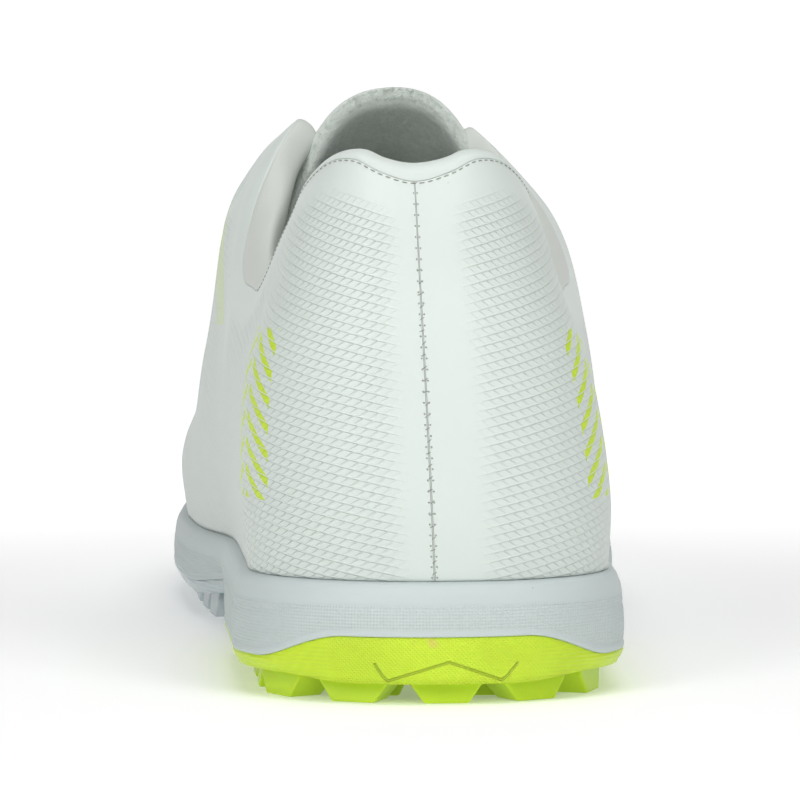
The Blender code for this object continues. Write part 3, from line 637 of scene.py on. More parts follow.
upperLook = {
    "colour": (0.69, 0.755, 0.715),
    "cloud": (0.665, 0.72, 0.675),
    "shade": (0.585, 0.655, 0.615),  # painted shade in the recessed cells
    "hole": (0.30, 0.31, 0.28),  # in the heel seam
    "neon": (0.60, 0.80, 0.035),
    "speck": (0.10, 0.09, 0.07),
    "rowStep": 1.55,  # height of one row of embossed cells
    "cellStep": 1.85,
    "climb": 0.21,  # how fast the rows rise going forward
    "slant": 1.0,  # lean of the ribs between the cells
    "cellDepth": 0.26,
    "holeStep": 1.9,
    "ladder": (42.0, 13.5, 43.5, 10.0),  # printed chevrons: middle, bottom, top, half width
    "ladderStep": 4.6,
    "ladderLean": 0.75,
    "hatch": (121.0, 41.0, 63.0, 9.0),  # printed slanted lines further forward
    "hatchStep": 2.6,
    "hatchLean": 0.55,
    "smoothStrip": 5.0,  # half the width of the smooth strip at the heel seam
    "stripShift": 2.2,  # how much further it reaches on the outer side
    # where the foot bends: place along the shoe, depth and width
    "creases": ((0.572, 0.30, 0.010), (0.606, 0.42, 0.011), (0.642, 0.36, 0.011), (0.676, 0.20, 0.010)),
}


def upperSkin():
    look = newLook("embossed upper", upperLook["colour"], 0.48, coat=0.12, coatRoughness=0.38)
    around, up, _ = readPlace(look)
    relief = readValue(look, "relief")
    row = (up + around * -upperLook["climb"]) / upperLook["rowStep"]
    rowPart = row.part()
    odd = row.maths("FLOOR").maths("MODULO", 2.0) * 0.5
    column = around / upperLook["cellStep"] + (rowPart * upperLook["slant"] + odd)
    columnPart = column.part()
    fromRow, fromColumn = abs(rowPart - 0.5), abs(columnPart - 0.5)
    rib = fromRow.ease(0.33, 0.46).larger(fromColumn.ease(0.36, 0.49, 0.0, 0.85))
    wedge = rowPart * 0.50 + (columnPart * -0.45 + 0.50)
    cell = (1.0 - rib) * wedge.larger(0.05) * relief.larger(0.0)

    # printed marks: chevrons in a ladder, and a block of slanted lines
    middle, low, high, half = upperLook["ladder"]
    aside = abs(around - middle)
    chevron = ((aside * upperLook["ladderLean"] + up) / upperLook["ladderStep"]).part() < 0.42
    chevron = chevron * (aside > 0.7) * (aside < half) * (up > low) * (up < high)
    middle, low, high, half = upperLook["hatch"]
    leaning = up * -upperLook["hatchLean"] + around - (middle - upperLook["hatchLean"] * (low + high) / 2)
    hatch = (leaning / upperLook["hatchStep"]).part() < 0.36
    hatch = hatch * (abs(leaning) < half) * (up > low) * (up < high)
    onCell = fromRow.larger(fromColumn * 0.90) < 0.455
    printed = chevron.larger(hatch) * onCell

    # the butted seam at the back, with its pierced holes
    seam = around.ease(0.06, 0.20, 0.75, 0.0)
    holeRow = abs((up / upperLook["holeStep"]).part() - 0.5) * upperLook["holeStep"]
    hole = distance(holeRow, around - 0.45).ease(0.06, 0.20, 1.0, 0.0)
    pierced = seam.larger(hole) * (relief > -0.5)

    colour = blend(noise(look, 38.0, 4.0).ease(0.35, 0.7) * 0.35, upperLook["colour"], upperLook["cloud"])
    # painted shade: the recessed cells are darkened, most at their deep upper edge
    colour = blend(cell * 0.36, colour, upperLook["shade"])
    colour = blend(printed, colour, upperLook["neon"])
    colour = blend(pierced * 0.60, colour, upperLook["hole"])
    dirt = noise(look, 520.0, 2.0, 0.4).ease(0.765, 0.80) * noise(look, 60.0, 2.0).ease(0.50, 0.62)
    colour = blend(dirt * 0.55, colour, upperLook["speck"])
    grain = noise(look, 2600.0, 2.0, 0.6)
    rough = grain * 0.10 + (printed * -0.06 + 0.43)
    cut = bump(pierced * -1.0, 0.28, bump(grain, 0.02))
    return feed(look, colour=colour, rough=rough, normal=bump(cell * -1.0, upperLook["cellDepth"], cut))


def upperRows(turns, edge, rows):  # rises and offsets of each column: up outside, over the rim, down inside
    wall = last["wall"]
    shares = [(share, 0.0, 0.0) for share in np.linspace(0, 1, rows)[:-1]]
    shares += [(1, -0.20, 0.0), (1, -0.05, -0.08), (1, 0.0, -0.3)]
    shares += [(1, 0.0, -1.2), (1, -0.12, -1.6), (1, -0.5, -wall)]
    shares += [(share, 0.0, -wall) for share in np.linspace(0.96, 0.0, 17)]
    share, back, offset = np.array(shares).T
    back = back / edgeScale(turns, edge - 0.01)[:, None] * (edge < 0.999)[:, None]
    return np.clip(edge[:, None] * share + back, 0, 1), np.tile(offset, (len(turns), 1))


def makeUpper():
    outerRows = 64
    turns = ringTurns(60, 170, 96)
    edge = edgeRise(turns)
    rises, offsets = upperRows(turns, edge, outerRows)
    count, up = rises.shape
    rim = outerRows - 1
    wide = np.broadcast_to(turns[:, None], rises.shape)
    level = lastSurface(turns, np.full(count, 0.33))
    around = aroundRing(level)
    around[count // 2] = (around[count // 2] + runLength(level[:count // 2 + 1])[-1]) / 2
    height = runLength(lastSurface(wide, rises)[:, :rim + 1].transpose(1, 0, 2)).T
    height = np.concatenate([height, np.repeat(height[:, -1:], up - rim - 1, axis=1)], axis=1)
    total = height[:, -1:]
    below = total - height
    outside = (np.arange(up) <= rim)[None, :]
    run = heelRun(turns)[:, None]

    # soft swell under the collar's edge, and creases where the foot bends
    swell = 0.35 * smoothStep(below / 5) * smoothStep((17 - below) / 9) * smoothStep((0.30 - run) / 0.1)
    crease = np.zeros_like(rises)
    for place, depth, width in upperLook["creases"]:
        drift = place + 0.035 * (1 - rises) + 0.004 * np.sin(9 * rises)
        crease -= depth * np.exp(-((run - drift) / width) ** 2) * smoothStep((rises - 0.34) / 0.3)
    lifted = topSwell(wide, total * (1 - rises / edge[:, None]))
    points = offLast(wide, rises, offsets + np.where(outside, swell + crease, 0.0) + lifted)
    points[:, [0, -1], 2] += last["clearance"]

    # the embossing fades at the heel seam, under the edge and on the sides of the collar's front
    aside = around[:, None] - upperLook["stripShift"] * np.sign(turns)[:, None]
    relief = smoothStep((aside - upperLook["smoothStrip"]) / 6.5) * smoothStep((below - 4.5) / 4)
    beside = smoothStep((run - 0.26) / 0.03) * smoothStep((0.47 - run) / 0.08)
    relief = relief * (1 - beside * smoothStep((24 - below) / 6))
    scoop = 1 - smoothStep((np.abs(run - 0.255) - 0.03) / 0.03)
    relief = relief * np.where(run < 0.32, 1 - scoop * smoothStep((9 - below) / 5), 1.0)
    relief = np.where(outside, relief, -1.0)
    place = np.stack([np.broadcast_to(around[:, None], rises.shape), height, np.sign(wide)], axis=-1)

    faces = gridFaces(count, up, wrapAcross=True, wrapUp=True)
    column, row = faces[:, 0] // up, faces[:, 0] % up
    shut = edge >= 0.9999
    onRim = (row >= rim) & (row < rim + 6)
    faces = faces[~(shut[column] & shut[(column + 1) % count] & onRim)]
    values = {"place": place.reshape(-1, 3), "relief": relief.ravel()}
    return makePiece("upper_shell", points, faces, upperSkin(), "upper_synthetic", "upper", values)


upperPiece = makeUpper()
print("stage 2: upper", len(upperPiece.data.polygons), "faces")

threadLook = {
    "colour": (0.36, 0.38, 0.34),
    "shade": (0.24, 0.255, 0.225),
    "collarStep": 1.5,
    "collarEnd": 0.212,  # where the collar's stitches stop, as a share of the length
    "thick": 0.26,
    "seamStep": 2.1,
    "seamThick": 0.17,
}


def threadSkin():
    look = newLook("sewing thread", threadLook["colour"], 0.62, sheen=0.2)
    twist = noise(look, 4200.0, 1.0)
    return feed(look, colour=blend(twist, threadLook["colour"], threadLook["shade"]), normal=bump(twist, 0.03))


thread = threadSkin()


def makeCollarThreads():
    end = turnAt(threadLook["collarEnd"])
    turns = np.linspace(-end, end, 600)
    edge = edgeRise(turns)
    rise = edge - 0.35 / edgeScale(turns, edge)
    line = offLast(turns, rise, np.full(turns.shape, 0.02))
    bits = grains(*spread(line, lastNormal(turns, rise), threadLook["collarStep"]), 1.0, threadLook["thick"])
    makePiece("collar_stitching", *bits, thread, "upper_synthetic")


def makeSeamThreads():
    top = float(edgeRise(np.array([0.0]))[0])
    rises = np.linspace(0.012, top - 0.02, 400)
    zero = np.zeros(400)
    line = offLast(zero, rises, np.full(400, 0.03))
    here, way, up = spread(line, lastNormal(zero, rises), threadLook["seamStep"])
    side = np.cross(way, up)
    flip = np.sin(np.arange(len(here)) * 2.4)[:, None]  # each thread slants a little differently
    slanted = unit(way * (0.55 + 0.25 * flip) + side)
    bits = grains(here + side * flip * 0.14, slanted, up, 0.95, threadLook["seamThick"])
    makePiece("heel_seam_stitching", *bits, thread, "upper_synthetic")


makeCollarThreads()
makeSeamThreads()
print("stage 3: stitching")

collarLook = {
    "colour": (0.62, 0.65, 0.61),
    "cloud": (0.60, 0.635, 0.59),
    # painted shade on the collar's inner face, inside the shoe
    "inside": (0.47, 0.52, 0.46),
    "pad": 4.6,
    "sidePad": 1.4,  # more padding towards the sides
    "endPad": -1.2,
    "depth": 27.0,
    "end": 0.352,  # where the lining ends, as a share of the length
}


def collarSkin():
    look = newLook("smooth collar lining", collarLook["colour"], 0.60, sheen=0.15)
    along, up, _ = readPlace(look)
    wove = noise(look, 1900.0, 2.0, 0.55)
    colour = blend(along.ease(0.12, 0.20), upperLook["colour"], collarLook["colour"])
    colour = blend(noise(look, 45.0, 3.0).ease(0.35, 0.7) * 0.25, colour, collarLook["cloud"])
    # painted shade: the inner face of the collar, inside the shoe, is darkened
    colour = blend(up.ease(10.6, 12.4), colour, collarLook["inside"])
    return feed(look, colour=colour, rough=wove * 0.12 + 0.54, normal=bump(wove, 0.05))


def makeCollar():
    end = turnAt(collarLook["end"])
    turns = np.linspace(-end, end, 151)
    along = alongAt(turns)
    edge = edgeRise(turns)
    scale = edgeScale(turns, edge)
    top = np.maximum(edgeRise(turns, lowered=0), edge + 1.6 / scale)
    bottom = top - collarLook["depth"] / scale
    behind = -(last["wall"] + 2.2 * last["clearance"])
    shown = top - edge
    deep = collarLook["pad"] + collarLook["sidePad"] * smoothStep((along - 0.24) / 0.06)
    deep = deep + collarLook["endPad"] * smoothStep((along - 0.335) / 0.02)
    profile = (
        (bottom, behind),
        (bottom + (edge - bottom) * 0.35, behind),
        (bottom + (edge - bottom) * 0.7, behind),
        (edge - 0.4 / scale, behind),
        (edge + 0.02 / scale, -0.80),
        (edge + 0.02 / scale, -0.14),
        (edge + 0.05 / scale, -0.01),
        (edge + 0.20 / scale, 0.0),
        (edge + 0.35 * shown, 0.02),
        (top - 0.30 * shown, -0.08 * deep),
        (top + 0.2 / scale, -0.36 * deep),
        (top + 0.2 / scale, -0.68 * deep),
        (top - 0.35 * shown, -deep),
        (bottom + (top - bottom) * 0.72, -deep * 1.12),
        (bottom + (top - bottom) * 0.4, -deep * 1.05),
        (bottom + (top - bottom) * 0.12, behind - 1.6),
    )
    points = np.stack([offLast(turns, rise, offset + topSwell(turns)) for rise, offset in profile], axis=1)
    count, up = points.shape[:2]
    place = np.zeros((count, up, 3))
    place[..., 0] = along[:, None]
    place[..., 1] = np.arange(up)[None, :]
    values = {"place": place.reshape(-1, 3)}
    faces = tubeFaces(count, up)
    collar = makePiece("padded_collar", points, faces, collarSkin(), "collar_lining", "collar", values, 2)


makeCollar()

tongueLook = {
    "colour": (0.50, 0.56, 0.50),
    "light": (0.585, 0.65, 0.585),
    "dark": (0.43, 0.49, 0.43),
    "rim": (0.68, 0.735, 0.69),
    "thickness": 4.0,
    "margin": 7.0,
    "rise": 7.0,
    "pitch": 0.36,
    "lift": 2.6,  # how much the arch stands above the throat
    "inner": (21, 3.6, -1.4),  # how far a side hangs down, and its two shifts sideways
    "outer": (15, 5.2, 1.0),
    "closedFrom": 0.362,
    "columns": 25,
    "nap": 0.5,
    "fibres": ((0, 1, 2600), (1, 9, 3000)),  # first row, last row and count, the end face first
}
tongueTop = throat["top"] - tongueLook["rise"] / last["length"]


def roof(along, sideways, offset):  # a point off the instep, by its place and its distance from the ridge
    sideways = np.asarray(sideways, float)
    turn = np.where(sideways < 0, -1.0, 1.0) * turnAt(along)
    ridge = sectionValue("ridge", -1, along)
    low, high = np.full(sideways.shape, 0.5), np.ones(sideways.shape)
    for _ in range(26):
        middle = (low + high) / 2
        near = np.abs(lastSurface(turn, middle)[..., 0] - ridge) < np.abs(sideways)
        high = np.where(near, middle, high)
        low = np.where(near, low, middle)
    low = np.where(np.abs(sideways) < 1e-3, 1.0, low)
    return offLast(turn, low, np.broadcast_to(offset, sideways.shape))


def tongueFace(along, sideways, offset):
    if along >= tongueLook["closedFrom"]:
        return roof(along, sideways, offset)
    back = (tongueLook["closedFrom"] - along) * last["length"]
    return roof(tongueLook["closedFrom"], sideways, offset) + np.array([0, -back, back * tongueLook["pitch"]])


def tongueSkin():
    look = newLook("brushed tongue lining", tongueLook["colour"], 0.92, sheen=0.55, specular=0.25)
    fuzz = noise(look, 900.0, 5.0, 0.72)
    loops = noise(look, 260.0, 3.0, 0.6)
    colour = blend(fuzz.ease(0.36, 0.66), tongueLook["colour"], tongueLook["light"])
    colour = blend(loops.ease(0.4, 0.62) * 0.35, colour, tongueLook["dark"])
    colour = blend(readValue(look, "rim") * 0.9, colour, tongueLook["rim"])
    return feed(look, colour=colour, normal=bump(fuzz, 0.30, bump(loops, 0.45)))


def makeNap(points):  # short fibres on the lining and on its top edge
    chance = np.random.default_rng(11)
    columns = tongueLook["columns"]
    middle = columns // 2
    places, ways = [], []
    for low, high, total in tongueLook["fibres"]:
        row = low + chance.random(total) * (high - low)
        column = columns + chance.random(total) * (columns - 1)
        i, j = row.astype(int), column.astype(int)
        a, b = (row - i)[:, None], (column - j)[:, None]
        corner, ahead, beside = points[i, j], points[np.minimum(i + 1, len(points) - 1), j], points[i, j + 1]
        if high == 1:  # across the end face, between its two edges
            other = points[0, 2 * columns - 1 - j]
            here = corner + (other - corner) * a + (beside - corner) * b
            normal = np.broadcast_to(points[0, middle] - points[2, middle], here.shape)
        else:
            here = corner + (ahead - corner) * a + (beside - corner) * b
            normal = np.cross(ahead - corner, beside - corner)
        normal = unit(normal)
        normal = normal * np.where(normal[:, 1:2] > 0, -1, 1)
        ways.append(unit(normal + chance.normal(0, 0.75, here.shape)))
        places.append(here - normal * 0.15)
    here, way = np.concatenate(places), np.concatenate(ways)
    side = unit(np.cross(way, np.array([0.3, 0.2, 0.9])))
    thick = tongueLook["nap"] * 0.09
    tip = here + way * tongueLook["nap"] * (0.5 + chance.random((len(here), 1)))
    base = [here - side * thick, here + side * thick, here + np.cross(side, way) * thick * 1.6]
    faces = [[4 * k + a, 4 * k + b, 4 * k + 3] for k in range(len(here)) for a, b in ((0, 1), (1, 2), (2, 0))]
    look = newLook("lining nap", tongueLook["rim"], 0.95, sheen=0.4, specular=0.2)
    feed(look, colour=blend(noise(look, 700.0, 2.0).ease(0.35, 0.65), tongueLook["colour"], tongueLook["rim"]))
    fibres = np.stack(base + [tip], axis=1)
    flatFaces(makePiece("tongue_nap", fibres, faces, look, "tongue_lining", "tongue", weld=0.0001))


def archFace(face, across, arch):  # rounds off the ridge and arches the face between its two edges
    middle = len(across) // 2
    face[middle] = (face[middle - 1] + face[middle + 1]) / 2
    for _ in range(12):
        face[1:-1, 2] = (face[:-2, 2] + 2 * face[1:-1, 2] + face[2:, 2]) / 4
    face[:, 2] += tongueLook["lift"] * arch
    left, peak, right = face[[0, middle, -1], 2]
    foot = (left + right) / 2
    bow = foot + (peak - foot) * (1 - np.abs(across) ** 2.3) + (right - left) / 2 * across
    face[:, 2] += (bow - face[:, 2]) * arch


def hangSides(upper, lower, across, thickness, hang):  # the sides hang down inside the collar
    inner, outer = tongueLook["inner"], tongueLook["outer"]
    fall, widen, shift = [np.where(across < 0, *pair) for pair in zip(inner, outer)]
    centre = (upper + lower) / 2
    drop = hang * np.abs(across) ** 4
    centre[:, 2] -= drop * fall
    centre[:, 0] += hang * across * widen + drop * shift
    way = unit(np.gradient(centre[:, [0, 2]], axis=0))
    out = np.stack([-way[:, 1], 0 * across, way[:, 0]], axis=1) * (thickness / 2)[:, None]
    upper += (centre + out - upper) * hang
    lower += (centre - out - lower) * hang


def makeTongue():
    columns = tongueLook["columns"]
    inRoof = np.linspace(tongueLook["closedFrom"], throatFront + 0.02, 40)
    places = np.concatenate([np.linspace(tongueTop, tongueLook["closedFrom"], 7)[:-1], inRoof])
    even = np.linspace(-1, 1, columns)
    across = 0.5 * np.sin(even * math.pi / 2) + 0.5 * even
    full = tongueLook["thickness"] * (1 - 0.5 * across**4)
    rows, rims = [], []
    for along in places:
        widening = np.clip((along - tongueTop) / 0.06, 0, 1)
        half = float(throatHalf(min(max(along, throat["top"]), throatFront - 0.03)))
        half += tongueLook["margin"] * widening - 2 * (1 - widening)
        halves = half * np.where(across < 0, 1 + 0.2 * (1 - widening), 1.0)
        away = (along - tongueTop) * last["length"]
        thickness = full * np.sqrt(np.clip(1 - (1 - min(away / 1.6, 1)) ** 2, 0.30, 1))
        under = last["wall"] + 2.5 * last["clearance"] + (full - thickness) / 2
        upper = tongueFace(along, across * halves, -under)
        lower = tongueFace(along, across * halves, -(under + thickness))
        arch = 0.85 * float(smoothStep((throat["top"] + 0.05 - along) / 0.075))
        archFace(upper, across, arch)
        archFace(lower, across, arch)
        hangSides(upper, lower, across, thickness, float(smoothStep((throat["top"] + 0.037 - along) / 0.05)))
        rows.append(np.concatenate([upper, lower[::-1]]))
        rims.append(np.full(2 * columns, 1 - smoothStep((away - 0.6) / 1.6)))
    points = np.array(rows)
    count, up = points.shape[:2]
    faces = gridFaces(count, up, wrapUp=True).tolist()
    for start, flip in ((0, 1), ((count - 1) * up, -1)):
        for i in range(columns - 1):
            faces.append([start + i, start + i + 1, start + up - 2 - i, start + up - 1 - i][::flip])
    values = {"rim": np.concatenate(rims)}
    tongue = makePiece("padded_tongue", points, faces, tongueSkin(), "tongue_lining", "tongue", values, 2)
    makeNap(points)


makeTongue()
print("stage 4: collar and tongue")

eyestay = {
    "colour": (0.69, 0.755, 0.715),
    "width": 15.0,
    "topShare": 0.36,  # its width at the top, as a share
    "thickness": 1.2,
    "offset": 0.25,
    "eyelets": 6,
    "firstEyelet": 0.045,  # from the throat's front, as a share of the length
    "lastEyelet": 0.036,  # from the throat's top
    "holeWidth": 3.6,
    "margin": 6.5,
    "threadInset": 2.0,
    "threadStep": 1.7,
}


def findEyelets():  # each with its place along the shoe and its rise on the inner and the outer side
    found = []
    front, back = throatFront - eyestay["firstEyelet"], throat["top"] + eyestay["lastEyelet"]
    for along in np.linspace(front, back, eyestay["eyelets"]):
        turns = np.array([-1, 1]) * turnAt(along)
        found.append((along, *edgeRise(turns, extra=eyestay["margin"], collared=False)))
    return found


eyelets = findEyelets()


def facingSkin():
    look = newLook("smooth facing", eyestay["colour"], 0.46, coat=0.1, coatRoughness=0.4)
    grain = noise(look, 1500.0, 3.0, 0.6)
    darker = tuple(part * 0.93 for part in eyestay["colour"])
    colour = blend(noise(look, 50.0, 3.0).ease(0.35, 0.7) * 0.5, eyestay["colour"], darker)
    return feed(look, colour=colour, rough=grain * 0.12 + 0.40, normal=bump(grain, 0.03))


def facingWidth(along):  # narrower at the top, where its corner is rounded
    away = np.clip((along - throat["top"]) * last["length"] / 16, 0, 1)
    return eyestay["width"] * (eyestay["topShare"] + (1 - eyestay["topShare"]) * np.sqrt(1 - (1 - away) ** 2))


def makeEyestay():
    front = turnAt(throatFront + eyestay["width"] / last["length"])
    top = turnAt(throat["top"])
    turns = top + (front - 0.0003 - top) * (1 - (1 - np.linspace(0, 1, 100)) ** 1.35)
    outerRows = 16
    shares = np.linspace(0.02, 0.97, outerRows)
    rows = [(share, 0.0, 0.45 + 0.55 * float(smoothStep(share / 0.16))) for share in shares]
    rows += [(1, -0.16, 0.93), (1, 0.0, 0.72), (1, 0.0, 0.28), (1, -0.16, 0.07)]
    rows += [(share, 0.0, 0.0) for share in np.linspace(0.97, 0.03, 10)]
    rows += [(0, 0.16, -0.1), (0, 0.0, 0.05), (0, 0.0, 0.2), (0, 0.12, 0.36)]
    up = len(rows)
    points, faces = [], []
    for side in (-1, 1):
        sided = side * turns
        width = facingWidth(alongAt(sided))
        low = edgeRise(sided, extra=width, collared=False)
        high = edgeRise(sided)
        scale = edgeScale(sided, low, 0.01)
        shut = high > 0.9999
        thinned = smoothStep((alongAt(sided) - throat["top"]) * last["length"] / 7 + 0.12)
        layers = []
        for share, back, height in rows:
            rise = np.clip(low + (high - low) * share + back / scale * ~(shut & (share == 1)), 0, 1)
            rise = np.where(shut & (share > 0.96), 1.0, rise)
            offset = (eyestay["offset"] + eyestay["thickness"] * height) * thinned + 0.02
            layers.append(offLast(sided, rise, topSwell(sided, (1 - share) * width) + offset))
        grid = gridFaces(len(turns), up, wrapUp=True)
        column, row = grid[:, 0] // up, grid[:, 0] % up
        onRim = (row >= outerRows - 1) & (row < outerRows + 4)
        start = len(points) * len(turns) * up
        faces += (grid[~(shut[column] & shut[column + 1] & onRim)] + start).tolist()
        faces.append([start + row for row in range(up)][::side])
        points.append(np.stack(layers, axis=1))
    look = facingSkin()
    return makePiece("throat_facing", points, faces, look, "eyestay_synthetic", "eyestay", weld=0.02)


def punch(piece):  # cuts the eyelets
    shape = bmesh.new()
    radius = eyestay["holeWidth"] / 2000
    for along, *rises in eyelets:
        for side, rise in zip((-1, 1), rises):
            turn = np.array(side * turnAt(along))
            placed = Vector(lastNormal(turn, rise)).to_track_quat("Z", "Y").to_matrix().to_4x4()
            placed.translation = Vector((lastSurface(turn, rise) + sitOn) / 1000)
            bmesh.ops.create_cone(
                shape, cap_ends=True, segments=24, radius1=radius, radius2=radius, depth=0.008, matrix=placed)
    mesh = bpy.data.meshes.new("punch")
    shape.to_mesh(mesh)
    shape.free()
    tool = addObject("punch", mesh)
    cut = piece.modifiers.new("holes", "BOOLEAN")
    cut.operation = "DIFFERENCE"
    cut.solver = "EXACT"
    cut.object = tool
    bpy.context.view_layer.objects.active = piece
    piece.select_set(True)
    bpy.ops.object.modifier_apply(modifier=cut.name)
    piece.select_set(False)
    bpy.data.objects.remove(tool, do_unlink=True)


def makeFacingThreads():
    inset = eyestay["threadInset"]
    start = turnAt(throat["top"] + 0.034)
    stop = turnAt(throatFront + inset / last["length"]) - 0.0006
    rows = []
    for side in (-1, 1):
        turns = side * (start + (stop - start) * (1 - (1 - np.linspace(0, 1, 240)) ** 1.6))
        rise = edgeRise(turns, extra=inset, collared=False)
        line = offLast(turns, rise, topSwell(turns) + eyestay["offset"] + eyestay["thickness"] + 0.02)
        rows.append(spread(line, lastNormal(turns, rise), eyestay["threadStep"]))
    bits = grains(*[np.concatenate(part) for part in zip(*rows)], 1.2, threadLook["thick"])
    makePiece("facing_stitching", *bits, thread, "eyestay_synthetic")


punch(makeEyestay())
makeFacingThreads()
print("stage 5: facing and eyelets")

lace = {
    "colour": (0.70, 0.745, 0.70),
    "shade": (0.55, 0.59, 0.55),
    "width": 6.0,
    "narrow": 3.0,  # its width in an eyelet
    "thickness": 1.3,
    "crossing": (0.15, 1.55),  # how high the lower and the upper run pass over the tongue
    "weave": (5.2, 7.5),
}


def laceSkin():
    look = newLook("woven lace", lace["colour"], 0.85, sheen=0.3, specular=0.3)
    length, aside, _ = readPlace(look)
    alongStep, asideStep = lace["weave"]
    first = (length * alongStep + aside * asideStep).wave()
    second = (length * alongStep + aside * -asideStep).wave()
    weave = (first + second) * 0.5
    colour = blend(weave.ease(-0.9, 0.6), lace["shade"], lace["colour"])
    return feed(look, colour=colour, normal=bump(weave, 0.16))


def laceRun(start, end, startSide, raised):  # centre line, normals and width of one run between eyelets
    steps = np.linspace(0, 1, 33)
    left = float(throatHalf(start)) + eyestay["margin"]
    right = float(throatHalf(end)) + eyestay["margin"]
    sideways = (-left + (left + right) * steps) * startSide * -1.0
    points, normals = [], []
    for place, aside in zip(start + (end - start) * steps, sideways):
        here = roof(place, np.array([aside]), 0.0)[0]
        points.append(here)
        normals.append(unit(roof(place, np.array([aside]), 1.0)[0] - here))
    points, normals = np.array(points), np.array(normals)
    span = np.minimum(steps, 1 - steps) * (left + right)  # millimetres from the nearer eyelet
    over = eyestay["offset"] + eyestay["thickness"] + lace["thickness"] / 2 + 0.15
    sunk = smoothStep((span - eyestay["margin"] - 0.5) / 4)
    height = over + raised * smoothStep((span - 4) / 6) - (over + 1.6) * sunk
    height = height - (over + 1.2) * (1 - smoothStep(span / 2.6))
    width = lace["narrow"] + (lace["width"] - lace["narrow"]) * smoothStep((span - 0.6) / 4.2)
    return points + normals * height[:, None], normals, width


def makeLaces():
    places = [along for along, _, _ in eyelets]
    under, over = lace["crossing"]
    runs = [(places[0], places[0], -1, 0.0)]
    for start, end in zip(places, places[1:]):
        runs += [(start, end, -1, under), (start, end, 1, over)]
    sides = 14
    angle = np.arange(sides) * 2 * math.pi / sides
    flat = np.sign(np.cos(angle)) * np.abs(np.cos(angle)) ** 0.55
    tall = np.sign(np.sin(angle)) * np.abs(np.sin(angle)) ** 0.75
    points, faces, place = [], [], []
    for run in runs:
        centre, normal, width = laceRun(*run)
        fine = np.linspace(0, len(centre) - 1, 97)
        whole = np.arange(len(centre))
        centre = np.stack([through(whole, column, fine, 1.0) for column in centre.T], axis=1)
        normal = np.stack([through(whole, column, fine, 1.0) for column in normal.T], axis=1)
        width = np.interp(fine, whole, width)[:, None]
        way = unit(np.gradient(centre, axis=0))
        aside = unit(np.cross(normal, way))
        upward = np.cross(way, aside)
        rings = centre[:, None] + (flat * width / 2)[..., None] * aside[:, None]
        rings = rings + (tall * lace["thickness"] / 2)[:, None] * upward[:, None]
        length = np.broadcast_to(runLength(centre)[:, None], rings.shape[:2])
        faces += tubeFaces(len(rings), sides, len(points) * len(rings) * sides)
        points.append(rings)
        place.append(np.stack([length, flat * width / 2, length * 0], axis=-1))
    values = {"place": np.concatenate(place).reshape(-1, 3)}
    makePiece("flat_lace", np.concatenate(points), faces, laceSkin(), "lace_cord", "laces", values, weld=0.0001)


makeLaces()
print("stage 6: lace")

midsoleLook = {
    "colour": (0.58, 0.645, 0.64),
    "cloud": (0.53, 0.60, 0.60),
    "dot": (0.36, 0.42, 0.43),
    "dirt": (0.12, 0.10, 0.08),
    "bandDepth": 3.6,  # smooth band under the upper
    "dotStep": 0.80,
    "dotDepth": 0.07,
    "joint": 0.04,  # gap above the rubber
    # small steps of its side, by the share of its height
    "steps": {0.42: -0.10, 0.45: -0.10, 0.88: -0.04, 0.92: -0.12, 0.945: 0.10, 0.975: 0.10},
}


def solePoint(turn, flare, height, inset=0.0):
    point = levelPoint(0, turn, flare)
    along = point[..., 1] / last["length"]
    share = np.where(turn < 0, 1.0, 0.35)
    point[..., 0] -= np.sign(turn) * share * inset * waist(along)
    point[..., 2] = height(along, turn)
    return point


def rubberEdge(along, turn):
    share = np.abs(turn) / last["heelTurn"]
    behind = 1 - smoothStep((share - 0.29) / 0.40)
    rise = sole["rubberSide"] + (sole["rubberBack"] - sole["rubberSide"]) * behind
    return rise + sole["waistRise"] * waist(along) + lift(along)


def rubberFloor(along, turn):
    return sole["rubberSide"] - 0.4 + sole["waistRise"] * waist(along) + lift(along)


def crossed(first, second, step):  # two slanted waves that cross, their crests a step apart
    each = 2 * math.pi / step * math.sqrt(0.5)
    return ((first + second) * each).wave(), ((first - second) * each).wave()


def midsoleSkin():
    look = newLook("dotted foam", midsoleLook["colour"], 0.62, specular=0.4)
    around, down, below = readPlace(look)
    left, right = crossed(around, down, midsoleLook["dotStep"])
    band = down.ease(midsoleLook["bandDepth"], midsoleLook["bandDepth"] + 0.35)
    dots = left * right * (band * below.ease(0.75, 1.0))
    colour = blend(noise(look, 42.0, 4.0).ease(0.3, 0.7) * 0.4, midsoleLook["colour"], midsoleLook["cloud"])
    colour = blend(dots.ease(-0.9, 0.5, 1.0, 0.0) * 0.11, colour, midsoleLook["dot"])
    colour = blend(noise(look, 430.0, 2.0, 0.4).ease(0.76, 0.80) * 0.6, colour, midsoleLook["dirt"])
    grain = noise(look, 1900.0, 2.0)
    normal = bump(dots, midsoleLook["dotDepth"], bump(grain, 0.02))
    return feed(look, colour=colour, rough=grain * 0.12 + 0.56, normal=normal)


